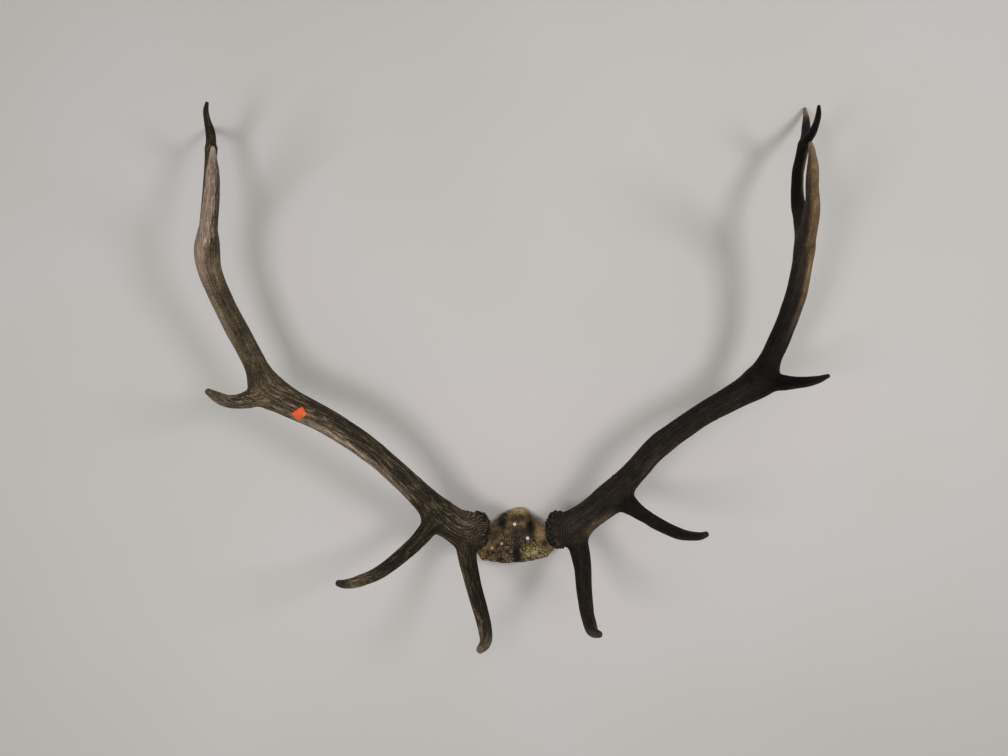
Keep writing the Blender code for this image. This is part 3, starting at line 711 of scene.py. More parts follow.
def cut_half(obj, name, middle, normal):
    """The part of an object on the far side of a plane from the normal, with the cut closed."""
    bm = bmesh.new()
    bm.from_mesh(obj.data)
    bmesh.ops.bisect_plane(bm, geom=bm.verts[:] + bm.edges[:] + bm.faces[:], dist=1e-7,
                           plane_co=middle, plane_no=normal, clear_outer=True)
    rim = [e for e in bm.edges if e.is_boundary]
    bmesh.ops.contextual_create(bm, geom=rim)
    for edge in rim:
        edge.smooth = False
    for face in bm.faces:
        face.smooth = True
    return as_object(name, bm)


antler_parts = {}
for antler_side, whole in antlers.items():
    beam = antler_centre[antler_side]["beam"]
    at = int(np.searchsorted(beam["run"], PART_AT[antler_side]))
    middle = Vector(beam["place"][at]) * MM
    normal = Vector(beam["along"][at])
    lower = cut_half(whole, f"{antler_side}_antler_lower", middle, normal)
    upper = cut_half(whole, f"{antler_side}_antler_upper", middle, -normal)
    bpy.data.objects.remove(whole, do_unlink=True)
    antler_parts[antler_side] = (lower, upper)
    for part, nodes in ((lower, LOWER_NODES), (upper, UPPER_NODES)):
        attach(part, "root")
        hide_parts(*[f"{antler_side}_{node}" for node in nodes])
        print(part.name, len(part.data.polygons), "faces")

# %% [markdown]
# ## The skull plate
# The plate is the top of the skull, sawn off flat underneath, with the two pedicles that the antlers
# grew from. It is domed, has a groove down its front half where two bones meet, and turns from dense
# bone at the back to coarse, wormy bone at the front. It starts as a grid that is bent into the dome.

# %% The plate's own frame and height
PLATE_ORIGIN = np.array((22.0, -279.0, 0.0)) + RACK_MOVE
PLATE_TILT = math.radians(11.0)
PLATE_LENGTH = 93.0
PLATE_FRONT_CENTRE = -15.0
PLATE_FRONT_BOW = 0.0022
PLATE_SIDES = ((0, -1, 12), (6, -16, 20), (13, -27, 26), (26, -41, 39), (42, -52, 51), (56, -62, 63),
               (68, -68, 69), (80, -69, 65), (93, -61, 53))
PLATE_CROWN = ((0, 9), (10, 21), (25, 33), (42, 40), (58, 39), (76, 32), (93, 20))
PLATE_EDGE = ((0, 7), (26, 15), (48, 21), (70, 18), (93, 9))
SUTURE = (52.0, 14.0, 8.0, 4.2)
HOLLOWS = ((-28, 24, 6.0, 8.0), (25, 27, 6.0, 8.0), (-20, 62, 2.5, 9.0), (24, 66, 2.0, 9.0))
PLATE_DOME = 2.4
BONE_LUMP = 1.5
BONE_LUMPS_PER_MM = 0.11


def read_table(table, where):
    """Read rows of (place, value, ...) at a place, easing from row to row."""
    for low, high in zip(table, table[1:]):
        if where <= high[0]:
            break
    share = ease(where, low[0], high[0])
    return tuple(a + (b - a) * share for a, b in zip(low[1:], high[1:]))


def plate_height(x, f):
    """Height of the outer face above the sawn face, x across and f forward from the rear edge."""
    low, high = read_table(PLATE_SIDES, f)
    reach = abs(x - (low + high) / 2) / ((high - low) / 2)
    crown = read_table(PLATE_CROWN, f)[0]
    edge = read_table(PLATE_EDGE, f)[0]
    height = edge + (crown - edge) * (1 - min(1.0, reach) ** PLATE_DOME)
    start, ramp, deep, wide = SUTURE
    height -= deep * min(1.0, max(0.0, (f - start) / ramp)) * math.exp(-(x / wide) ** 2)
    for cx, cf, depth, size in HOLLOWS:
        height -= depth * math.exp(-((x - cx) ** 2 + (f - cf) ** 2) / size ** 2)
    return height + BONE_LUMP * noise.noise(Vector((x * BONE_LUMPS_PER_MM, f * BONE_LUMPS_PER_MM, 3.0)))


def from_plate(x, f, u):
    """A place across, forward and above the sawn face, in the rack's millimetres."""
    sine, cosine = math.sin(PLATE_TILT), math.cos(PLATE_TILT)
    return Vector(PLATE_ORIGIN) + Vector((x, -f * cosine + u * sine, f * sine + u * cosine))


def to_plate(points):
    """The opposite way: points in millimetres as across, forward and above the sawn face."""
    sine, cosine = math.sin(PLATE_TILT), math.cos(PLATE_TILT)
    offset = points - PLATE_ORIGIN
    return np.column_stack([offset[:, 0], -offset[:, 1] * cosine + offset[:, 2] * sine,
                            offset[:, 1] * sine + offset[:, 2] * cosine])


# %% [markdown]
# The grid's rim is extruded down to the flat sawn face and closed. Two turned pedicles are added, and
# the same voxel wrap makes one bone of all three.

# %% Build the plate's body
PEDICLE_LENGTH = 46.0
PEDICLE_SHIFT = (0.0, -12.0, 0.0)
PEDICLE_PROFILE = ((1.0, 24.0), (0.6, 20.5), (0.25, 18.0), (0.0, 19.5))
PEDICLE_GAP = 0.3
PLATE_VOXEL = 0.9
PLATE_CELLS = (48, 36)


def plate_body():
    bm = bmesh.new()
    made = bmesh.ops.create_grid(bm, x_segments=PLATE_CELLS[0], y_segments=PLATE_CELLS[1], size=1.0)
    for vert in made["verts"]:
        share = (vert.co.y + 1) / 2
        low, high = read_table(PLATE_SIDES, share * PLATE_LENGTH)
        x = low + (high - low) * (vert.co.x + 1) / 2
        f = share * (PLATE_LENGTH - PLATE_FRONT_BOW * (x - PLATE_FRONT_CENTRE) ** 2)
        vert.co = (x, f, plate_height(x, f))
    grown = bmesh.ops.extrude_edge_only(bm, edges=[e for e in bm.edges if e.is_boundary])["geom"]
    for vert in (v for v in grown if isinstance(v, bmesh.types.BMVert)):
        vert.co.z = 0.0
    bmesh.ops.contextual_create(bm, geom=[e for e in bm.edges if e.is_boundary])
    for vert in bm.verts:
        vert.co = from_plate(*vert.co) * MM
    for shape in (LEFT, RIGHT):
        foot, axis = foot_and_axis(shape)
        shift = np.array(PEDICLE_SHIFT)
        foot = foot - axis * PEDICLE_GAP + shift - axis * (shift @ axis)
        draw_turned(bm, foot, axis, [(-PEDICLE_LENGTH * share, radius) for share, radius in PEDICLE_PROFILE])
    return wrap_skin("skull_bone", bm, PLATE_VOXEL)


skull_bone = plate_body()
print("skull bone skin:", len(skull_bone.data.polygons), "faces")

# %% [markdown]
# The bone's surface has three kinds of ground: fairly smooth bone at the back and on the pedicles,
# wormy bone with pits at the front, and open sponge on the sawn face inside a rim of dense bone. A few
# soft zones make it paler or darker, and yellower or redder. The two dark zones over the hollows beside
# the pedicles are painted shade, and one tiny pale spot on the left of the front is a painted glint.

# %% Give the plate its surface
SAWN_EDGE = (0.25, 1.2)
JOINT_EDGE = (-2.0, -0.8)
PEDICLE_BLEND = (-34, -14)
PEDICLE_REACH = 34
FRONT_BONE = (40, 56)
BONE_SMOOTHINGS = 14
WORM_SIZE = 5.2
WORM_EDGE = 0.17
WORM_DEPTH = 1.0
PIT_SIZE = 4.6
PIT_EDGE = 0.34
PIT_DEPTH = 1.5
SPONGE_SIZE = 2.6
SPONGE_EDGE = 0.42
SPONGE_DEPTH = 1.1
SPONGE_START = 4.8
SPONGE_SOFT = 4.0
BONE_RELIEF = ((1.7, 9.0), (0.6, 4.5))
SCREW_FLAT = (3.5, 7.0)
BONE_FLOOR_GAP = 0.1
BONE_TONE = 0.44
BONE_MOTTLE = 0.14
BONE_MOTTLE_SIZE = 11.0
BONE_WARM = 0.45
SCREWS = {"screw_top": (-4, 27), "screw_left": (-26, 59), "screw_right": (18, 50)}
# Zones: x and f of the middle, half width, half length, how much paler, how much redder. The dark
# zones at (-25, 26) and (23, 31) are painted shade in the hollows, and the tiny pale one at (-42, 65)
# is a painted glint
PLATE_COLOURS_SHADE_AND_GLINT = ((2, 2, 26, 8, 0.34, -0.50), (2, 17, 15, 6, -0.28, 0.35), (-25, 26, 6, 12, -0.60, 0.0),
               (23, 31, 7, 12, -0.60, 0.0), (-39, 42, 10, 12, -0.14, 0.30), (38, 39, 9, 12, 0.40, 0.15),
               (1, 43, 17, 13, -0.38, 0.10), (-56, 82, 11, 9, 0.18, 0.55), (-27, 70, 16, 14, -0.12, -0.20),
               (0, 80, 5.5, 17, -0.90, 0.0), (34, 76, 26, 13, 0.22, -0.40), (46, 57, 6, 6, -0.40, 0.55),
               (-20, 11, 2.5, 2.5, -0.6, 0.0), (-42, 65, 1.8, 1.8, 1.2, -0.4))


def near_pedicle(points):
    """How close each point is to the joint between a pedicle and its antler, 0 to 1."""
    close = np.zeros(len(points))
    for shape in (LEFT, RIGHT):
        foot, axis = foot_and_axis(shape)
        along = (points - foot) @ axis
        radial = np.linalg.norm(points - foot - along[:, None] * axis, axis=1)
        close = np.maximum(close, ease(along, *PEDICLE_BLEND) * (radial < PEDICLE_REACH))
    return close


def bone_ground(own, under, front, smooth_bone):
    """Rise, pits and worm tracks at every point, given across, forward and above the sawn face."""
    rise, pits, worms = np.zeros((3, len(own)))
    for j, (x, f, u) in enumerate(own):
        place = Vector((x, f, u))
        if under[j] > 0.5:
            low, high = read_table(PLATE_SIDES, f)
            rim = min(x - low, high - x, f + 2, PLATE_LENGTH - f)
            inner = min(1.0, max(0.0, (rim - SPONGE_START) / SPONGE_SOFT))
            pits[j] = inner * max(0.0, 1 - noise.voronoi(place / SPONGE_SIZE)[0][0] / SPONGE_EDGE)
            continue
        worms[j] = max(0.0, 1 - abs(noise.noise(place / WORM_SIZE)) / WORM_EDGE)
        hole = max(0.0, 1 - noise.voronoi(place / PIT_SIZE)[0][0] / PIT_EDGE)
        pits[j] = hole * (0.30 + 0.70 * front[j]) * (1 - 0.8 * smooth_bone[j])
        rise[j] = sum(much * noise.noise(place / size) for much, size in BONE_RELIEF)
    worms *= 0.25 + 0.75 * front
    rise -= WORM_DEPTH * worms * (1 - smooth_bone * 0.7) + PIT_DEPTH * pits
    return rise, pits, worms


def finish_plate():
    points = read_points(skull_bone)
    flat = 1 - ease(to_plate(points)[:, 2], *SAWN_EDGE)
    joint = np.zeros(len(points))
    for shape in (LEFT, RIGHT):
        foot, axis = foot_and_axis(shape)
        joint = np.maximum(joint, ease((points - foot) @ axis, *JOINT_EDGE))
    free = (1 - np.maximum(flat, joint))[:, None]
    soft = relax(points, read_edges(skull_bone), BONE_SMOOTHINGS)
    points = points + (soft - points) * free
    own = to_plate(points)
    write_points(skull_bone, points)
    out = np.empty(len(points) * 3)
    skull_bone.data.vertices.foreach_get("normal", out)
    out = out.reshape(-1, 3)

    smooth_bone = near_pedicle(points)
    front = ease(own[:, 1], *FRONT_BONE) * (1 - smooth_bone)
    under = flat * (out[:, 2] < -0.5)
    rise, pits, worms = bone_ground(own, under, front, smooth_bone)
    rise *= 1 - joint
    for x, f in SCREWS.values():
        rise *= ease(np.hypot(own[:, 0] - x, own[:, 1] - f), *SCREW_FLAT)
    rise = np.where(under > 0.5, -SPONGE_DEPTH * pits, rise * (1 - flat))
    points = points + out * rise[:, None]
    points[:, 2] = np.maximum(points[:, 2], BONE_FLOOR_GAP)
    write_points(skull_bone, points)

    mottle = np.array([noise.noise(Vector(p) / BONE_MOTTLE_SIZE) for p in own])
    tone = BONE_TONE + BONE_MOTTLE * mottle + 0.16 * under
    warm = np.full(len(points), BONE_WARM)
    # these zones include painted shade in the two hollows and a painted glint
    for x, f, wide, long, paler, redder in PLATE_COLOURS_SHADE_AND_GLINT:
        zone = np.exp(-((own[:, 0] - x) / wide) ** 2 - ((own[:, 1] - f) / long) ** 2) * (1 - under)
        tone += paler * zone
        warm += redder * zone
    for name, values in (("tone", tone), ("warm", np.clip(warm, 0, 1)), ("streak", rise * 0.6),
                         ("furrow", np.clip(worms * 0.7 + pits, 0, 1))):
        write_attribute(skull_bone, name, values)
    print("skull bone:", len(points), "points, rise in mm", rise.min().round(2), "to", rise.max().round(2))


finish_plate()

# %% [markdown]
# ## Screws
# Three small pan-head screws were driven through the plate when the rack was hung. Each head is a disc
# whose edge is rounded with a bevel, with a cross recess cut by a Boolean, and a plain shank below.

# %% Build the screws and cut their seats
SCREW_TURNS = {"screw_top": 20.0, "screw_left": 65.0, "screw_right": -12.0}
HEAD_RADIUS = 3.0
HEAD_HEIGHT = 1.7
SUNK_SHARE = 0.6
SHANK_RADIUS = 1.7
SHANK_LENGTH = 16.0
HEAD_ROUND = 0.62
SEAT_EASE = 0.7
SHANK_EASE = 0.3
CROSS_WIDTH = 0.9
CROSS_LENGTH = 3.2
CROSS_DEPTH = 1.15
CROSS_TAPER = 0.45
CROSS_ABOVE = 0.4
SCREW_SHARP = math.radians(32)
BONE_SHARP = math.radians(60)


def cut_with(obj, cutter, operation="DIFFERENCE"):
    """Cut or join an object with a helper, then remove the helper."""
    step = obj.modifiers.new("cut", "BOOLEAN")
    step.operation = operation
    step.solver = "EXACT"
    step.object = cutter
    keep_modified(obj)
    bpy.data.objects.remove(cutter, do_unlink=True)


def bar(radius, low, high, segments=40):
    """An upright round bar between two heights, in millimetres."""
    bm = bmesh.new()
    bmesh.ops.create_cone(bm, cap_ends=True, segments=segments, radius1=radius, radius2=radius,
                          depth=high - low)
    bmesh.ops.translate(bm, verts=bm.verts, vec=(0, 0, (low + high) / 2))
    return bm


def plate_matrix(x, f, u):
    """Put something upright on the plate, at a place across, forward and above the sawn face."""
    turn = Matrix.Rotation(-PLATE_TILT, 4, "X")
    flip = Matrix(((1, 0, 0, 0), (0, -1, 0, 0), (0, 0, 1, 0), (0, 0, 0, 1)))
    return Matrix.Scale(MM, 4) @ Matrix.Translation(from_plate(x, f, u)) @ turn @ flip


def screw_head(name):
    """A pan head with a cross recess and a plain shank, upright on its seat, in millimetres."""
    bm = bar(HEAD_RADIUS, 0, HEAD_HEIGHT, 48)
    top = [e for e in bm.edges if all(v.co.z > HEAD_HEIGHT * 0.9 for v in e.verts)]
    bmesh.ops.bevel(bm, geom=top, offset=HEAD_HEIGHT * HEAD_ROUND, offset_type="OFFSET", segments=6,
                    profile=0.5, affect="EDGES", material=-1)
    head = as_object(name, bm)
    for angle in (0.0, 90.0):
        bm = bmesh.new()
        bmesh.ops.create_cube(bm, size=1.0)
        for vert in bm.verts:
            taper = 1.0 if vert.co.z > 0 else CROSS_TAPER
            vert.co = (vert.co.x * CROSS_LENGTH * taper, vert.co.y * CROSS_WIDTH * taper, vert.co.z)
        bmesh.ops.scale(bm, vec=(1, 1, CROSS_DEPTH + CROSS_ABOVE), verts=bm.verts)
        bmesh.ops.translate(bm, vec=(0, 0, HEAD_HEIGHT + (CROSS_ABOVE - CROSS_DEPTH) / 2), verts=bm.verts)
        bmesh.ops.rotate(bm, matrix=Matrix.Rotation(math.radians(angle), 3, "Z"), verts=bm.verts)
        cut_with(head, as_object("cross", bm))
    cut_with(head, as_object("shank", bar(SHANK_RADIUS, -SHANK_LENGTH, 0.4)), "UNION")
    return head


def build_screw(name, x, f):
    """Put a screw in the plate, and cut its seat and hole in the bone."""
    head = screw_head(name)
    place = plate_matrix(x, f, plate_height(x, f) - HEAD_HEIGHT * SUNK_SHARE)
    head.data.transform(place @ Matrix.Rotation(math.radians(SCREW_TURNS[name]), 4, "Z"))
    bm = bmesh.new()
    bm.from_mesh(head.data)
    bmesh.ops.recalc_face_normals(bm, faces=bm.faces)
    bm.to_mesh(head.data)
    bm.free()
    head.data.shade_smooth()
    head.data.set_sharp_from_angle(angle=SCREW_SHARP)
    for radius, low, high in ((HEAD_RADIUS + SEAT_EASE, -SHANK_EASE, 20.0),
                              (SHANK_RADIUS + SHANK_EASE, -SHANK_LENGTH - SHANK_EASE, 1.0)):
        cutter = bar(radius, low, high)
        bmesh.ops.transform(cutter, matrix=place, verts=cutter.verts)
        bmesh.ops.recalc_face_normals(cutter, faces=cutter.faces)
        cut_with(skull_bone, as_object("seat", cutter))
    head.name = f"{name}_finished"
    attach(head, "root")
    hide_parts(name)
    return head


screws = [build_screw(name, *place) for name, place in SCREWS.items()]
for face in skull_bone.data.polygons:
    face.use_smooth = True
skull_bone.data.set_sharp_from_angle(angle=BONE_SHARP)
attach(skull_bone, "root")
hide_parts("skull_plate")
print("screws:", [screw.name for screw in screws], "plate faces:", len(skull_bone.data.polygons))

# %% [markdown]
# ## The label
# A small bare paper label is stuck round the left beam. Paper bends one way only, so it lies on a
# cylinder, sags a little between the ridges, and lifts at two corners.

# %% Build the label
LABEL_DISTANCE = 356.5
LABEL_SIDE = (0.12, -0.28, 0.95)
LABEL_SIZE = (21.0, 14.5)
LABEL_THICK = 0.22
LABEL_TURN = math.radians(-56.0)
LABEL_CELLS = (28, 20)
LABEL_CORNER = 1.1
CORNER_LIFT = 0.7
# Corners that lift: which way across, where the lift starts, over how long, and how much of it
LIFTED_CORNERS = ((1, 0.55, 0.45, 1.0), (-1, 0.70, 0.30, 0.6))
LABEL_GAP = 0.12
LABEL_SHARP = math.radians(50)
# The skin is felt at these places, and the paper rests on the highest places within its bridge
FELT_PLACES = np.linspace(-14, 14, 29)
PAPER_BRIDGE = 4.5
PAPER_STIFFNESS = 0.35


def cut_paper():
    """The flat label with rounded corners, turned as it was stuck, and how far each point lifts."""
    bm = bmesh.new()
    bmesh.ops.create_grid(bm, x_segments=LABEL_CELLS[0], y_segments=LABEL_CELLS[1], size=0.5)
    bmesh.ops.scale(bm, vec=(*LABEL_SIZE, 1), verts=bm.verts)
    lift = {}
    for vert in bm.verts:
        past = [abs(vert.co[i]) - (LABEL_SIZE[i] / 2 - LABEL_CORNER) for i in range(2)]
        far = math.hypot(*past)
        if min(past) > 0 and far > LABEL_CORNER:
            for i in range(2):
                vert.co[i] -= math.copysign(past[i] * (1 - LABEL_CORNER / far), vert.co[i])
        across, along = vert.co.x / LABEL_SIZE[0], vert.co.y / LABEL_SIZE[1]
        lift[vert] = CORNER_LIFT * sum(much * (max(0.0, way * across + along - start) / length) ** 2
                                       for way, start, length, much in LIFTED_CORNERS)
    bmesh.ops.rotate(bm, matrix=Matrix.Rotation(LABEL_TURN, 3, "Z"), verts=bm.verts)
    return bm, lift


def build_label():
    beam = antler_centre["left"]["beam"]
    at = int(np.searchsorted(beam["run"], LABEL_DISTANCE))
    middle = Vector(beam["place"][at])
    along = Vector(beam["along"][at])
    radius = beam["radius"][at]
    facing = Vector(LABEL_SIDE)
    facing = (facing - along * facing.dot(along)).normalized()
    across = along.cross(facing)
    skin = bmesh.new()
    skin.from_mesh(antler_parts["left"][0].data)
    tree = BVHTree.FromBMesh(skin)
    skin.free()

    def bearing(y):
        return facing * math.cos(y / radius) + across * math.sin(y / radius)

    def skin_reach(x, y):
        start = middle + along * x + bearing(y) * 3 * radius
        hit = tree.ray_cast(start * MM, -bearing(y))[0]
        return (hit / MM - middle - along * x).length

    bm, lift = cut_paper()
    reach = {(x, y): skin_reach(x, y) for x in FELT_PLACES for y in FELT_PLACES}
    highest = max(reach.values())
    for vert in bm.verts:
        x, y = vert.co.x, vert.co.y
        near = max(far for (px, py), far in reach.items() if math.hypot(px - x, py - y) < PAPER_BRIDGE)
        height = PAPER_STIFFNESS * highest + (1 - PAPER_STIFFNESS) * near + LABEL_GAP + lift[vert]
        vert.co = (middle + along * x + bearing(y) * height) * MM
    bmesh.ops.recalc_face_normals(bm, faces=bm.faces)
    if sum(face.normal.dot(facing) for face in bm.faces) < 0:
        bmesh.ops.reverse_faces(bm, faces=bm.faces)
    bmesh.ops.solidify(bm, geom=bm.faces[:], thickness=-LABEL_THICK * MM)
    bmesh.ops.recalc_face_normals(bm, faces=bm.faces)
    for face in bm.faces:
        face.smooth = True
    label = as_object("bare_label", bm)
    label.data.set_sharp_from_angle(angle=LABEL_SHARP)
    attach(label, "root")
    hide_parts("price_sticker")
    return label


label = build_label()
print("label faces:", len(label.data.polygons))

# %% [markdown]
# ## Node helpers
# Materials are small graphs of nodes. A few short helpers keep the lesson readable: they add a node, join
# two sockets, do sums, read noise or an attribute, and turn a screen colour into the linear values that
# nodes expect.

# %% Helpers for nodes
def linear(red, green, blue):
    """A screen colour, 0 to 255, as a linear colour."""
    return tuple(((c / 255 + 0.055) / 1.055) ** 2.4 if c > 10 else c / 255 / 12.92
                 for c in (red, green, blue)) + (1.0,)


def add(tree, kind, label="", **settings):
    node = tree.nodes.new(kind)
    node.label = label
    for name, value in settings.items():
        setattr(node, name, value)
    return node


def join(tree, source, target):
    """Give the target socket a number, or a link from the source socket."""
    if isinstance(source, (int, float)):
        target.default_value = source
    else:
        tree.links.new(source, target)


def value_math(tree, operation, *values, clamp=False):
    """A Math node whose inputs are numbers or sockets. Returns its output."""
    node = add(tree, "ShaderNodeMath", operation=operation, use_clamp=clamp)
    for value, socket in zip(values, node.inputs):
        join(tree, value, socket)
    return node.outputs[0]


def swing(tree, value, middle, amount, share=1.0):
    """How far a value is from its middle, times an amount and a share."""
    off = value_math(tree, "MULTIPLY", value_math(tree, "SUBTRACT", value, middle), amount)
    return value_math(tree, "MULTIPLY", off, share)


def attribute(tree, name, output="Fac"):
    return add(tree, "ShaderNodeAttribute", name, attribute_name=name).outputs[output]


def noise_value(tree, label, place, scale, detail=2.0, rough=0.5):
    """A Noise texture at a place, with a number or a socket as its scale. Returns its value."""
    node = add(tree, "ShaderNodeTexNoise", label)
    for name, value in (("Vector", place), ("Scale", scale), ("Detail", detail), ("Roughness", rough)):
        join(tree, value, node.inputs[name])
    return node.outputs["Fac"]


def ramp(tree, factor, stops, label=""):
    """A colour ramp from (place, colour) stops. Returns its colour output."""
    node = add(tree, "ShaderNodeValToRGB", label)
    while len(node.color_ramp.elements) < len(stops):
        node.color_ramp.elements.new(0.5)
    for element, (place, colour) in zip(node.color_ramp.elements, stops):
        element.position = place
        element.color = colour
    join(tree, factor, node.inputs["Fac"])
    return node.outputs["Color"]


# %% [markdown]
# Every material starts in the same way, and its finest relief is a bump. Dressing a piece gives it one
# material in place of any that it had.

# %% Start a material
def new_material(name, specular=0.5):
    """A material, its node tree, its shader and the coordinates of the piece that wears it."""
    mat = bpy.data.materials.new(name)
    mat.use_nodes = True
    tree = mat.node_tree
    shader = tree.nodes["Principled BSDF"]
    shader.inputs["Specular IOR Level"].default_value = specular
    return mat, tree, shader, add(tree, "ShaderNodeTexCoord").outputs["Object"]


def add_bump(tree, shader, height, strength, distance):
    bump = add(tree, "ShaderNodeBump")
    for name, value in (("Height", height), ("Strength", strength), ("Distance", distance)):
        join(tree, value, bump.inputs[name])
    join(tree, bump.outputs["Normal"], shader.inputs["Normal"])


def dress(pieces, mat):
    for piece in pieces:
        piece.data.materials.clear()
        piece.data.materials.append(mat)
    print(mat.name, "on", [piece.name for piece in pieces])


# %% [markdown]
# ## Grain of grown bone
# Fine streaks, lines and pores are too small for the mesh, so noise draws them. On the antlers the noise
# reads attributes that run along the beam and along the nearest tine, and mixes them at a fork, so the
# streaks follow every bend. Plain bone without a direction takes an even grain instead. The group is
# built once and used for both antlers and the skull bone, each with its own strengths.

# %% Build the grain group
STREAK_STRETCH = 0.33
STREAK_SCALE = 740.0
LINE_STRETCH = 0.06
LINE_SCALE = 240.0
LINE_THINNESS = 17.0
EVEN_SCALE = 480.0
PORE_SCALE = 520.0
PORE_EDGE = 3.2
PORE_PATCH_SCALE = 70.0
BLOTCH_SCALE = 34.0


def stretched(group, label, source, stretch):
    """Coordinates that are squeezed along the third direction, so that what reads them grows long."""
    node = add(group, "ShaderNodeMapping", label)
    node.inputs["Scale"].default_value = (1.0, 1.0, stretch)
    join(group, source, node.inputs["Vector"])
    return node.outputs[0]


def long_grain(group, scale, source):
    """Streaks and thin lines that run along one direction. Returns both values."""
    streak = noise_value(group, "streaks", stretched(group, "long streaks", source, STREAK_STRETCH),
                         value_math(group, "MULTIPLY", scale, STREAK_SCALE), 3.0, 0.7)
    line = noise_value(group, "lines", stretched(group, "longer lines", source, LINE_STRETCH),
                       value_math(group, "MULTIPLY", scale, LINE_SCALE), 1.0)
    off = value_math(group, "ABSOLUTE", value_math(group, "SUBTRACT", line, 0.5))
    thin = value_math(group, "SUBTRACT", 1.0, value_math(group, "MULTIPLY", off, LINE_THINNESS), clamp=True)
    return streak, thin


def mix_values(tree, share, first, second):
    """The first value where share is 0 and the second where it is 1."""
    node = add(tree, "ShaderNodeMix", data_type="FLOAT")
    for value, place in ((share, 0), (first, 2), (second, 3)):
        join(tree, value, node.inputs[place])
    return node.outputs[0]


def grain_group():
    group = bpy.data.node_groups.new("bone_grain", "ShaderNodeTree")
    face = group.interface
    for name in ("Beam", "Branch", "Around"):
        face.new_socket(name, in_out="INPUT", socket_type="NodeSocketVector")
    for name, value in (("Fork", 0.0), ("Plain", 0.0), ("Streak Scale", 1.0), ("Pore Scale", 1.0)):
        face.new_socket(name, in_out="INPUT", socket_type="NodeSocketFloat").default_value = value
    for name in ("Streaks", "Lines", "Pores", "Blotches"):
        face.new_socket(name, in_out="OUTPUT", socket_type="NodeSocketFloat")
    given = add(group, "NodeGroupInput").outputs
    made = add(group, "NodeGroupOutput").inputs
    around, scale, plain = given["Around"], given["Streak Scale"], given["Plain"]

    beam_streaks, beam_lines = long_grain(group, scale, given["Beam"])
    branch_streaks, branch_lines = long_grain(group, scale, given["Branch"])
    even = noise_value(group, "even grain", around, value_math(group, "MULTIPLY", scale, EVEN_SCALE), 3.0)
    streaks = mix_values(group, given["Fork"], beam_streaks, branch_streaks)
    join(group, mix_values(group, plain, streaks, even), made["Streaks"])
    lines = mix_values(group, given["Fork"], beam_lines, branch_lines)
    join(group, mix_values(group, plain, lines, 0.0), made["Lines"])

    pore = add(group, "ShaderNodeTexVoronoi", "pores")
    join(group, around, pore.inputs["Vector"])
    join(group, value_math(group, "MULTIPLY", given["Pore Scale"], PORE_SCALE), pore.inputs["Scale"])
    wall = value_math(group, "MULTIPLY", pore.outputs["Distance"], PORE_EDGE)
    hole = value_math(group, "SUBTRACT", 1.0, wall, clamp=True)
    patch = noise_value(group, "where pores lie", around, PORE_PATCH_SCALE)
    where = value_math(group, "MULTIPLY", value_math(group, "SUBTRACT", patch, 0.47), 6.0, clamp=True)
    join(group, value_math(group, "MULTIPLY", hole, where), made["Pores"])
    join(group, noise_value(group, "blotches", around, BLOTCH_SCALE, 4.0), made["Blotches"])
    return group


bone_grain = grain_group()
print("group:", bone_grain.name, [item.name for item in bone_grain.interface.items_tree])

# %% [markdown]
# ## Antler skin
# The tone attribute picks a colour from a ramp that runs from nearly black stain to rubbed ivory. The
# streaks, furrows, pores and blotches push the tone up and down first, so all of them share the same
# natural colours. Rubbed tips are smoother, so they shine a little more.

# %% Antler materials
def antler_material(name, stops, dark_rough, specular, strengths):
    mat, tree, shader, around = new_material(name, specular)
    grain = add(tree, "ShaderNodeGroup", "grain", node_tree=bone_grain)
    join(tree, around, grain.inputs["Around"])
    join(tree, attribute(tree, "grain", "Vector"), grain.inputs["Beam"])
    join(tree, attribute(tree, "branch", "Vector"), grain.inputs["Branch"])
    join(tree, attribute(tree, "fork"), grain.inputs["Fork"])
    join(tree, attribute(tree, "plain"), grain.inputs["Plain"])
    polish = attribute(tree, "polish")
    tone = attribute(tree, "tone")
    # Marks are calmer on rubbed tips, and where the bone is nearly black or nearly white
    calm = value_math(tree, "MULTIPLY", value_math(tree, "MULTIPLY_ADD", polish, -0.5, 1.0),
                      value_math(tree, "MINIMUM", value_math(tree, "ADD", tone, 0.35),
                                 value_math(tree, "MULTIPLY_ADD", tone, -1.1, 1.25)))
    calm = value_math(tree, "MAXIMUM", calm, 0.2)
    streaks, lines, ridges, dark_furrows, blotches, pores = strengths
    for value, middle, amount in ((grain.outputs["Streaks"], 0.5, streaks),
                                  (grain.outputs["Lines"], 0.2, lines),
                                  (attribute(tree, "streak"), 0.0, ridges),
                                  (attribute(tree, "furrow"), 0.15, -dark_furrows),
                                  (grain.outputs["Blotches"], 0.5, blotches),
                                  (grain.outputs["Pores"], 0.0, -pores)):
        tone = value_math(tree, "ADD", tone, swing(tree, value, middle, amount, calm))
    join(tree, ramp(tree, tone, stops, "stain to ivory"), shader.inputs["Base Color"])
    rough = value_math(tree, "MULTIPLY_ADD", polish, -0.2, dark_rough)
    rough = value_math(tree, "ADD", rough, swing(tree, grain.outputs["Streaks"], 0.5, -0.25, calm))
    join(tree, rough, shader.inputs["Roughness"])
    height = value_math(tree, "MULTIPLY_ADD", grain.outputs["Pores"], -0.5, grain.outputs["Streaks"])
    add_bump(tree, shader, value_math(tree, "MULTIPLY", height, calm), 0.5, 0.0008)
    return mat


LEFT_STOPS = ((0.0, linear(18, 13, 9)), (0.25, linear(45, 38, 28)), (0.5, linear(89, 77, 58)),
              (0.75, linear(143, 123, 108)), (1.0, linear(195, 178, 158)))
RIGHT_STOPS = ((0.0, linear(9, 7, 5)), (0.25, linear(33, 28, 24)), (0.5, linear(61, 51, 42)),
               (0.75, linear(118, 94, 66)), (1.0, linear(180, 163, 132)))
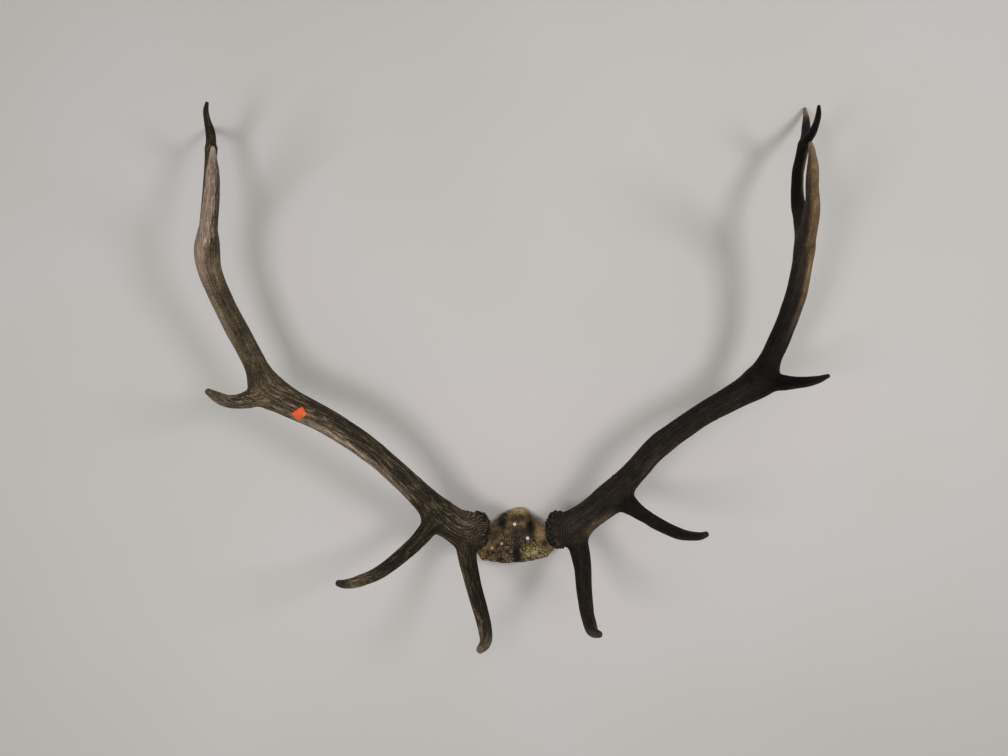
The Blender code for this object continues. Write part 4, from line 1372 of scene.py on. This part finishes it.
# Strengths of the streaks, thin lines, ridges, furrows, blotches and pores
LEFT_MARKS = (1.45, 0.50, 0.12, 0.18, 0.28, 0.36)
RIGHT_MARKS = (1.15, 0.18, 0.08, 0.14, 0.20, 0.22)
left_skin = antler_material("left_antler_skin", LEFT_STOPS, 0.66, 0.12, LEFT_MARKS)
right_skin = antler_material("right_antler_skin", RIGHT_STOPS, 0.62, 0.08, RIGHT_MARKS)
dress(antler_parts["left"], left_skin)
dress(antler_parts["right"], right_skin)

# %% [markdown]
# ## Skull bone
# Old skull bone is yellower than antler. Pits and worm tracks hold brown dirt, and the dense bone
# between them is paler.

# %% Skull material
BONE_STOPS = ((0.0, linear(16, 12, 8)), (0.25, linear(52, 42, 28)), (0.5, linear(102, 87, 58)),
              (0.75, linear(150, 132, 92)), (1.0, linear(196, 180, 138)))
WARM_TINT = (1.0, 0.74, 0.55, 1.0)


def skull_material():
    mat, tree, shader, around = new_material("skull_bone_skin", 0.3)
    grain = add(tree, "ShaderNodeGroup", "grain", node_tree=bone_grain)
    for name, value in (("Around", around), ("Plain", 1.0), ("Streak Scale", 1.3), ("Pore Scale", 1.3)):
        join(tree, value, grain.inputs[name])
    tone = attribute(tree, "tone")
    for value, middle, amount in ((grain.outputs["Streaks"], 0.5, 1.2),
                                  (attribute(tree, "furrow"), 0.12, -0.75),
                                  (attribute(tree, "streak"), 0.0, 0.10),
                                  (grain.outputs["Blotches"], 0.5, 0.5),
                                  (grain.outputs["Pores"], 0.0, -0.3)):
        tone = value_math(tree, "ADD", tone, swing(tree, value, middle, amount))
    tint = add(tree, "ShaderNodeMix", "redder bone", data_type="RGBA", blend_type="MULTIPLY")
    join(tree, attribute(tree, "warm"), tint.inputs[0])
    join(tree, ramp(tree, tone, BONE_STOPS, "dirt to bone"), tint.inputs[6])
    tint.inputs[7].default_value = WARM_TINT
    join(tree, tint.outputs[2], shader.inputs["Base Color"])
    join(tree, value_math(tree, "MULTIPLY_ADD", grain.outputs["Blotches"], 0.3, 0.5),
         shader.inputs["Roughness"])
    height = value_math(tree, "SUBTRACT", grain.outputs["Streaks"], grain.outputs["Pores"])
    add_bump(tree, shader, height, 0.6, 0.0007)
    return mat


dress([skull_bone], skull_material())

# %% [markdown]
# ## Screw metal and label paper
# The screw heads are dull pale plating with a little grime; their near-white tone is also a painted
# highlight that stands in for the glints on them. The label is matt orange-red paper with faint
# fibres, and it has faded unevenly.

# %% Small materials
# Near-white plating, partly a painted highlight standing in for the glints on the heads
PLATING_AND_GLINT_STOPS = ((0.28, linear(150, 138, 116)), (0.48, linear(226, 221, 209)),
                 (0.75, linear(240, 236, 226)))
PAPER_STOPS = ((0.3, linear(204, 72, 36)), (0.5, linear(226, 88, 46)), (0.7, linear(236, 108, 66)))


def screw_material():
    mat, tree, shader, around = new_material("plating_with_painted_glint")
    grime = noise_value(tree, "grime", around, 900.0, 4.0)
    join(tree, ramp(tree, grime, PLATING_AND_GLINT_STOPS, "grime on plating"), shader.inputs["Base Color"])
    join(tree, value_math(tree, "MULTIPLY_ADD", grime, -0.3, 0.55), shader.inputs["Roughness"])
    metal = value_math(tree, "MULTIPLY_ADD", grime, 0.3, 0.05, clamp=True)
    join(tree, metal, shader.inputs["Metallic"])
    return mat


def label_material():
    mat, tree, shader, around = new_material("label_paper", 0.3)
    fibre = noise_value(tree, "fibres", around, 1500.0, 5.0)
    fade = noise_value(tree, "uneven fading", around, 120.0)
    mix = value_math(tree, "MULTIPLY_ADD", fibre, 0.4, value_math(tree, "MULTIPLY", fade, 0.6))
    join(tree, ramp(tree, mix, PAPER_STOPS, "orange-red"), shader.inputs["Base Color"])
    join(tree, value_math(tree, "MULTIPLY_ADD", fibre, 0.2, 0.5), shader.inputs["Roughness"])
    add_bump(tree, shader, fibre, 0.3, 0.0001)
    return mat


dress(screws, screw_material())
dress([label], label_material())

# %% [markdown]
# ## Floor
# The rack lies on a plain pale floor. It is large enough to fill the picture from any side, and its
# plaster is a little uneven in tone, as real plaster is.

# %% Floor
FLOOR_SIZE = 6.0
PLASTER_STOPS = ((0.35, linear(202, 199, 195)), (0.65, linear(208, 203, 202)))


def floor_material():
    mat, tree, shader, around = new_material("pale_floor", 0.15)
    shader.inputs["Roughness"].default_value = 0.9
    cloud = noise_value(tree, "faint unevenness", around, 1.3)
    join(tree, ramp(tree, cloud, PLASTER_STOPS, "pale plaster"), shader.inputs["Base Color"])
    return mat


sheet = bmesh.new()
bmesh.ops.create_grid(sheet, x_segments=2, y_segments=2, size=FLOOR_SIZE)
floor = as_object("floor", sheet)
dress([floor], floor_material())

# %% [markdown]
# ## Light
# Two soft lights, one on either side, cross their faint shadows on the floor below the antlers, as
# ceiling lamps do. A slightly green sky fills the shadows.

# %% Lights and sky
LIGHTS = {"soft_left": ((-0.64, -0.27, 1.60), 8.6), "soft_right": ((1.05, 0.25, 1.60), 11.0)}
LIGHT_SIZE = 0.45
LIGHT_COLOUR = (1.0, 0.93, 0.99)
SKY_COLOUR = (0.93, 1.0, 0.91, 1.0)
SKY_STRENGTH = 0.46
AIM = Vector((0.0, 0.0, 0.05))

for name, (place, power) in LIGHTS.items():
    lamp = bpy.data.lights.new(name, "AREA")
    lamp.energy = power
    lamp.size = LIGHT_SIZE
    lamp.color = LIGHT_COLOUR
    holder = bpy.data.objects.new(name, lamp)
    holder.location = place
    holder.rotation_euler = (AIM - Vector(place)).to_track_quat("-Z", "Y").to_euler()
    bpy.context.scene.collection.objects.link(holder)

sky = bpy.data.worlds.new("soft_sky")
sky.use_nodes = True
sky.node_tree.nodes["Background"].inputs["Color"].default_value = SKY_COLOUR
sky.node_tree.nodes["Background"].inputs["Strength"].default_value = SKY_STRENGTH
bpy.context.scene.world = sky
bpy.context.scene.view_settings.view_transform = "Standard"
print("lights:", list(LIGHTS), "sky", SKY_STRENGTH)

# %% [markdown]
# ## Camera
# The camera looks down on the rack from a little over arm's length, with a fairly wide lens, so tines
# that rise toward it look longer, and lean outward in the picture.

# %% Camera
CAMERA_PLACE = Vector((RACK_MOVE[0], 31.0 + RACK_MOVE[1], 1307.0)) * MM
CAMERA_LOOK = Vector((0.0, -0.0636, -0.998))
SENSOR_WIDTH = 36.0
LENS_LENGTH = 27.036

camera_data = bpy.data.cameras.new("camera")
camera_data.sensor_width = SENSOR_WIDTH
camera_data.lens = LENS_LENGTH
camera = bpy.data.objects.new("camera", camera_data)
camera.location = CAMERA_PLACE
right = Vector((1.0, 0.0, 0.0))
upward = right.cross(CAMERA_LOOK).normalized()
camera.rotation_euler = Matrix((right, upward, right.cross(upward))).transposed().to_euler()
bpy.context.scene.collection.objects.link(camera)
bpy.context.scene.camera = camera
print("camera at", tuple(CAMERA_PLACE))
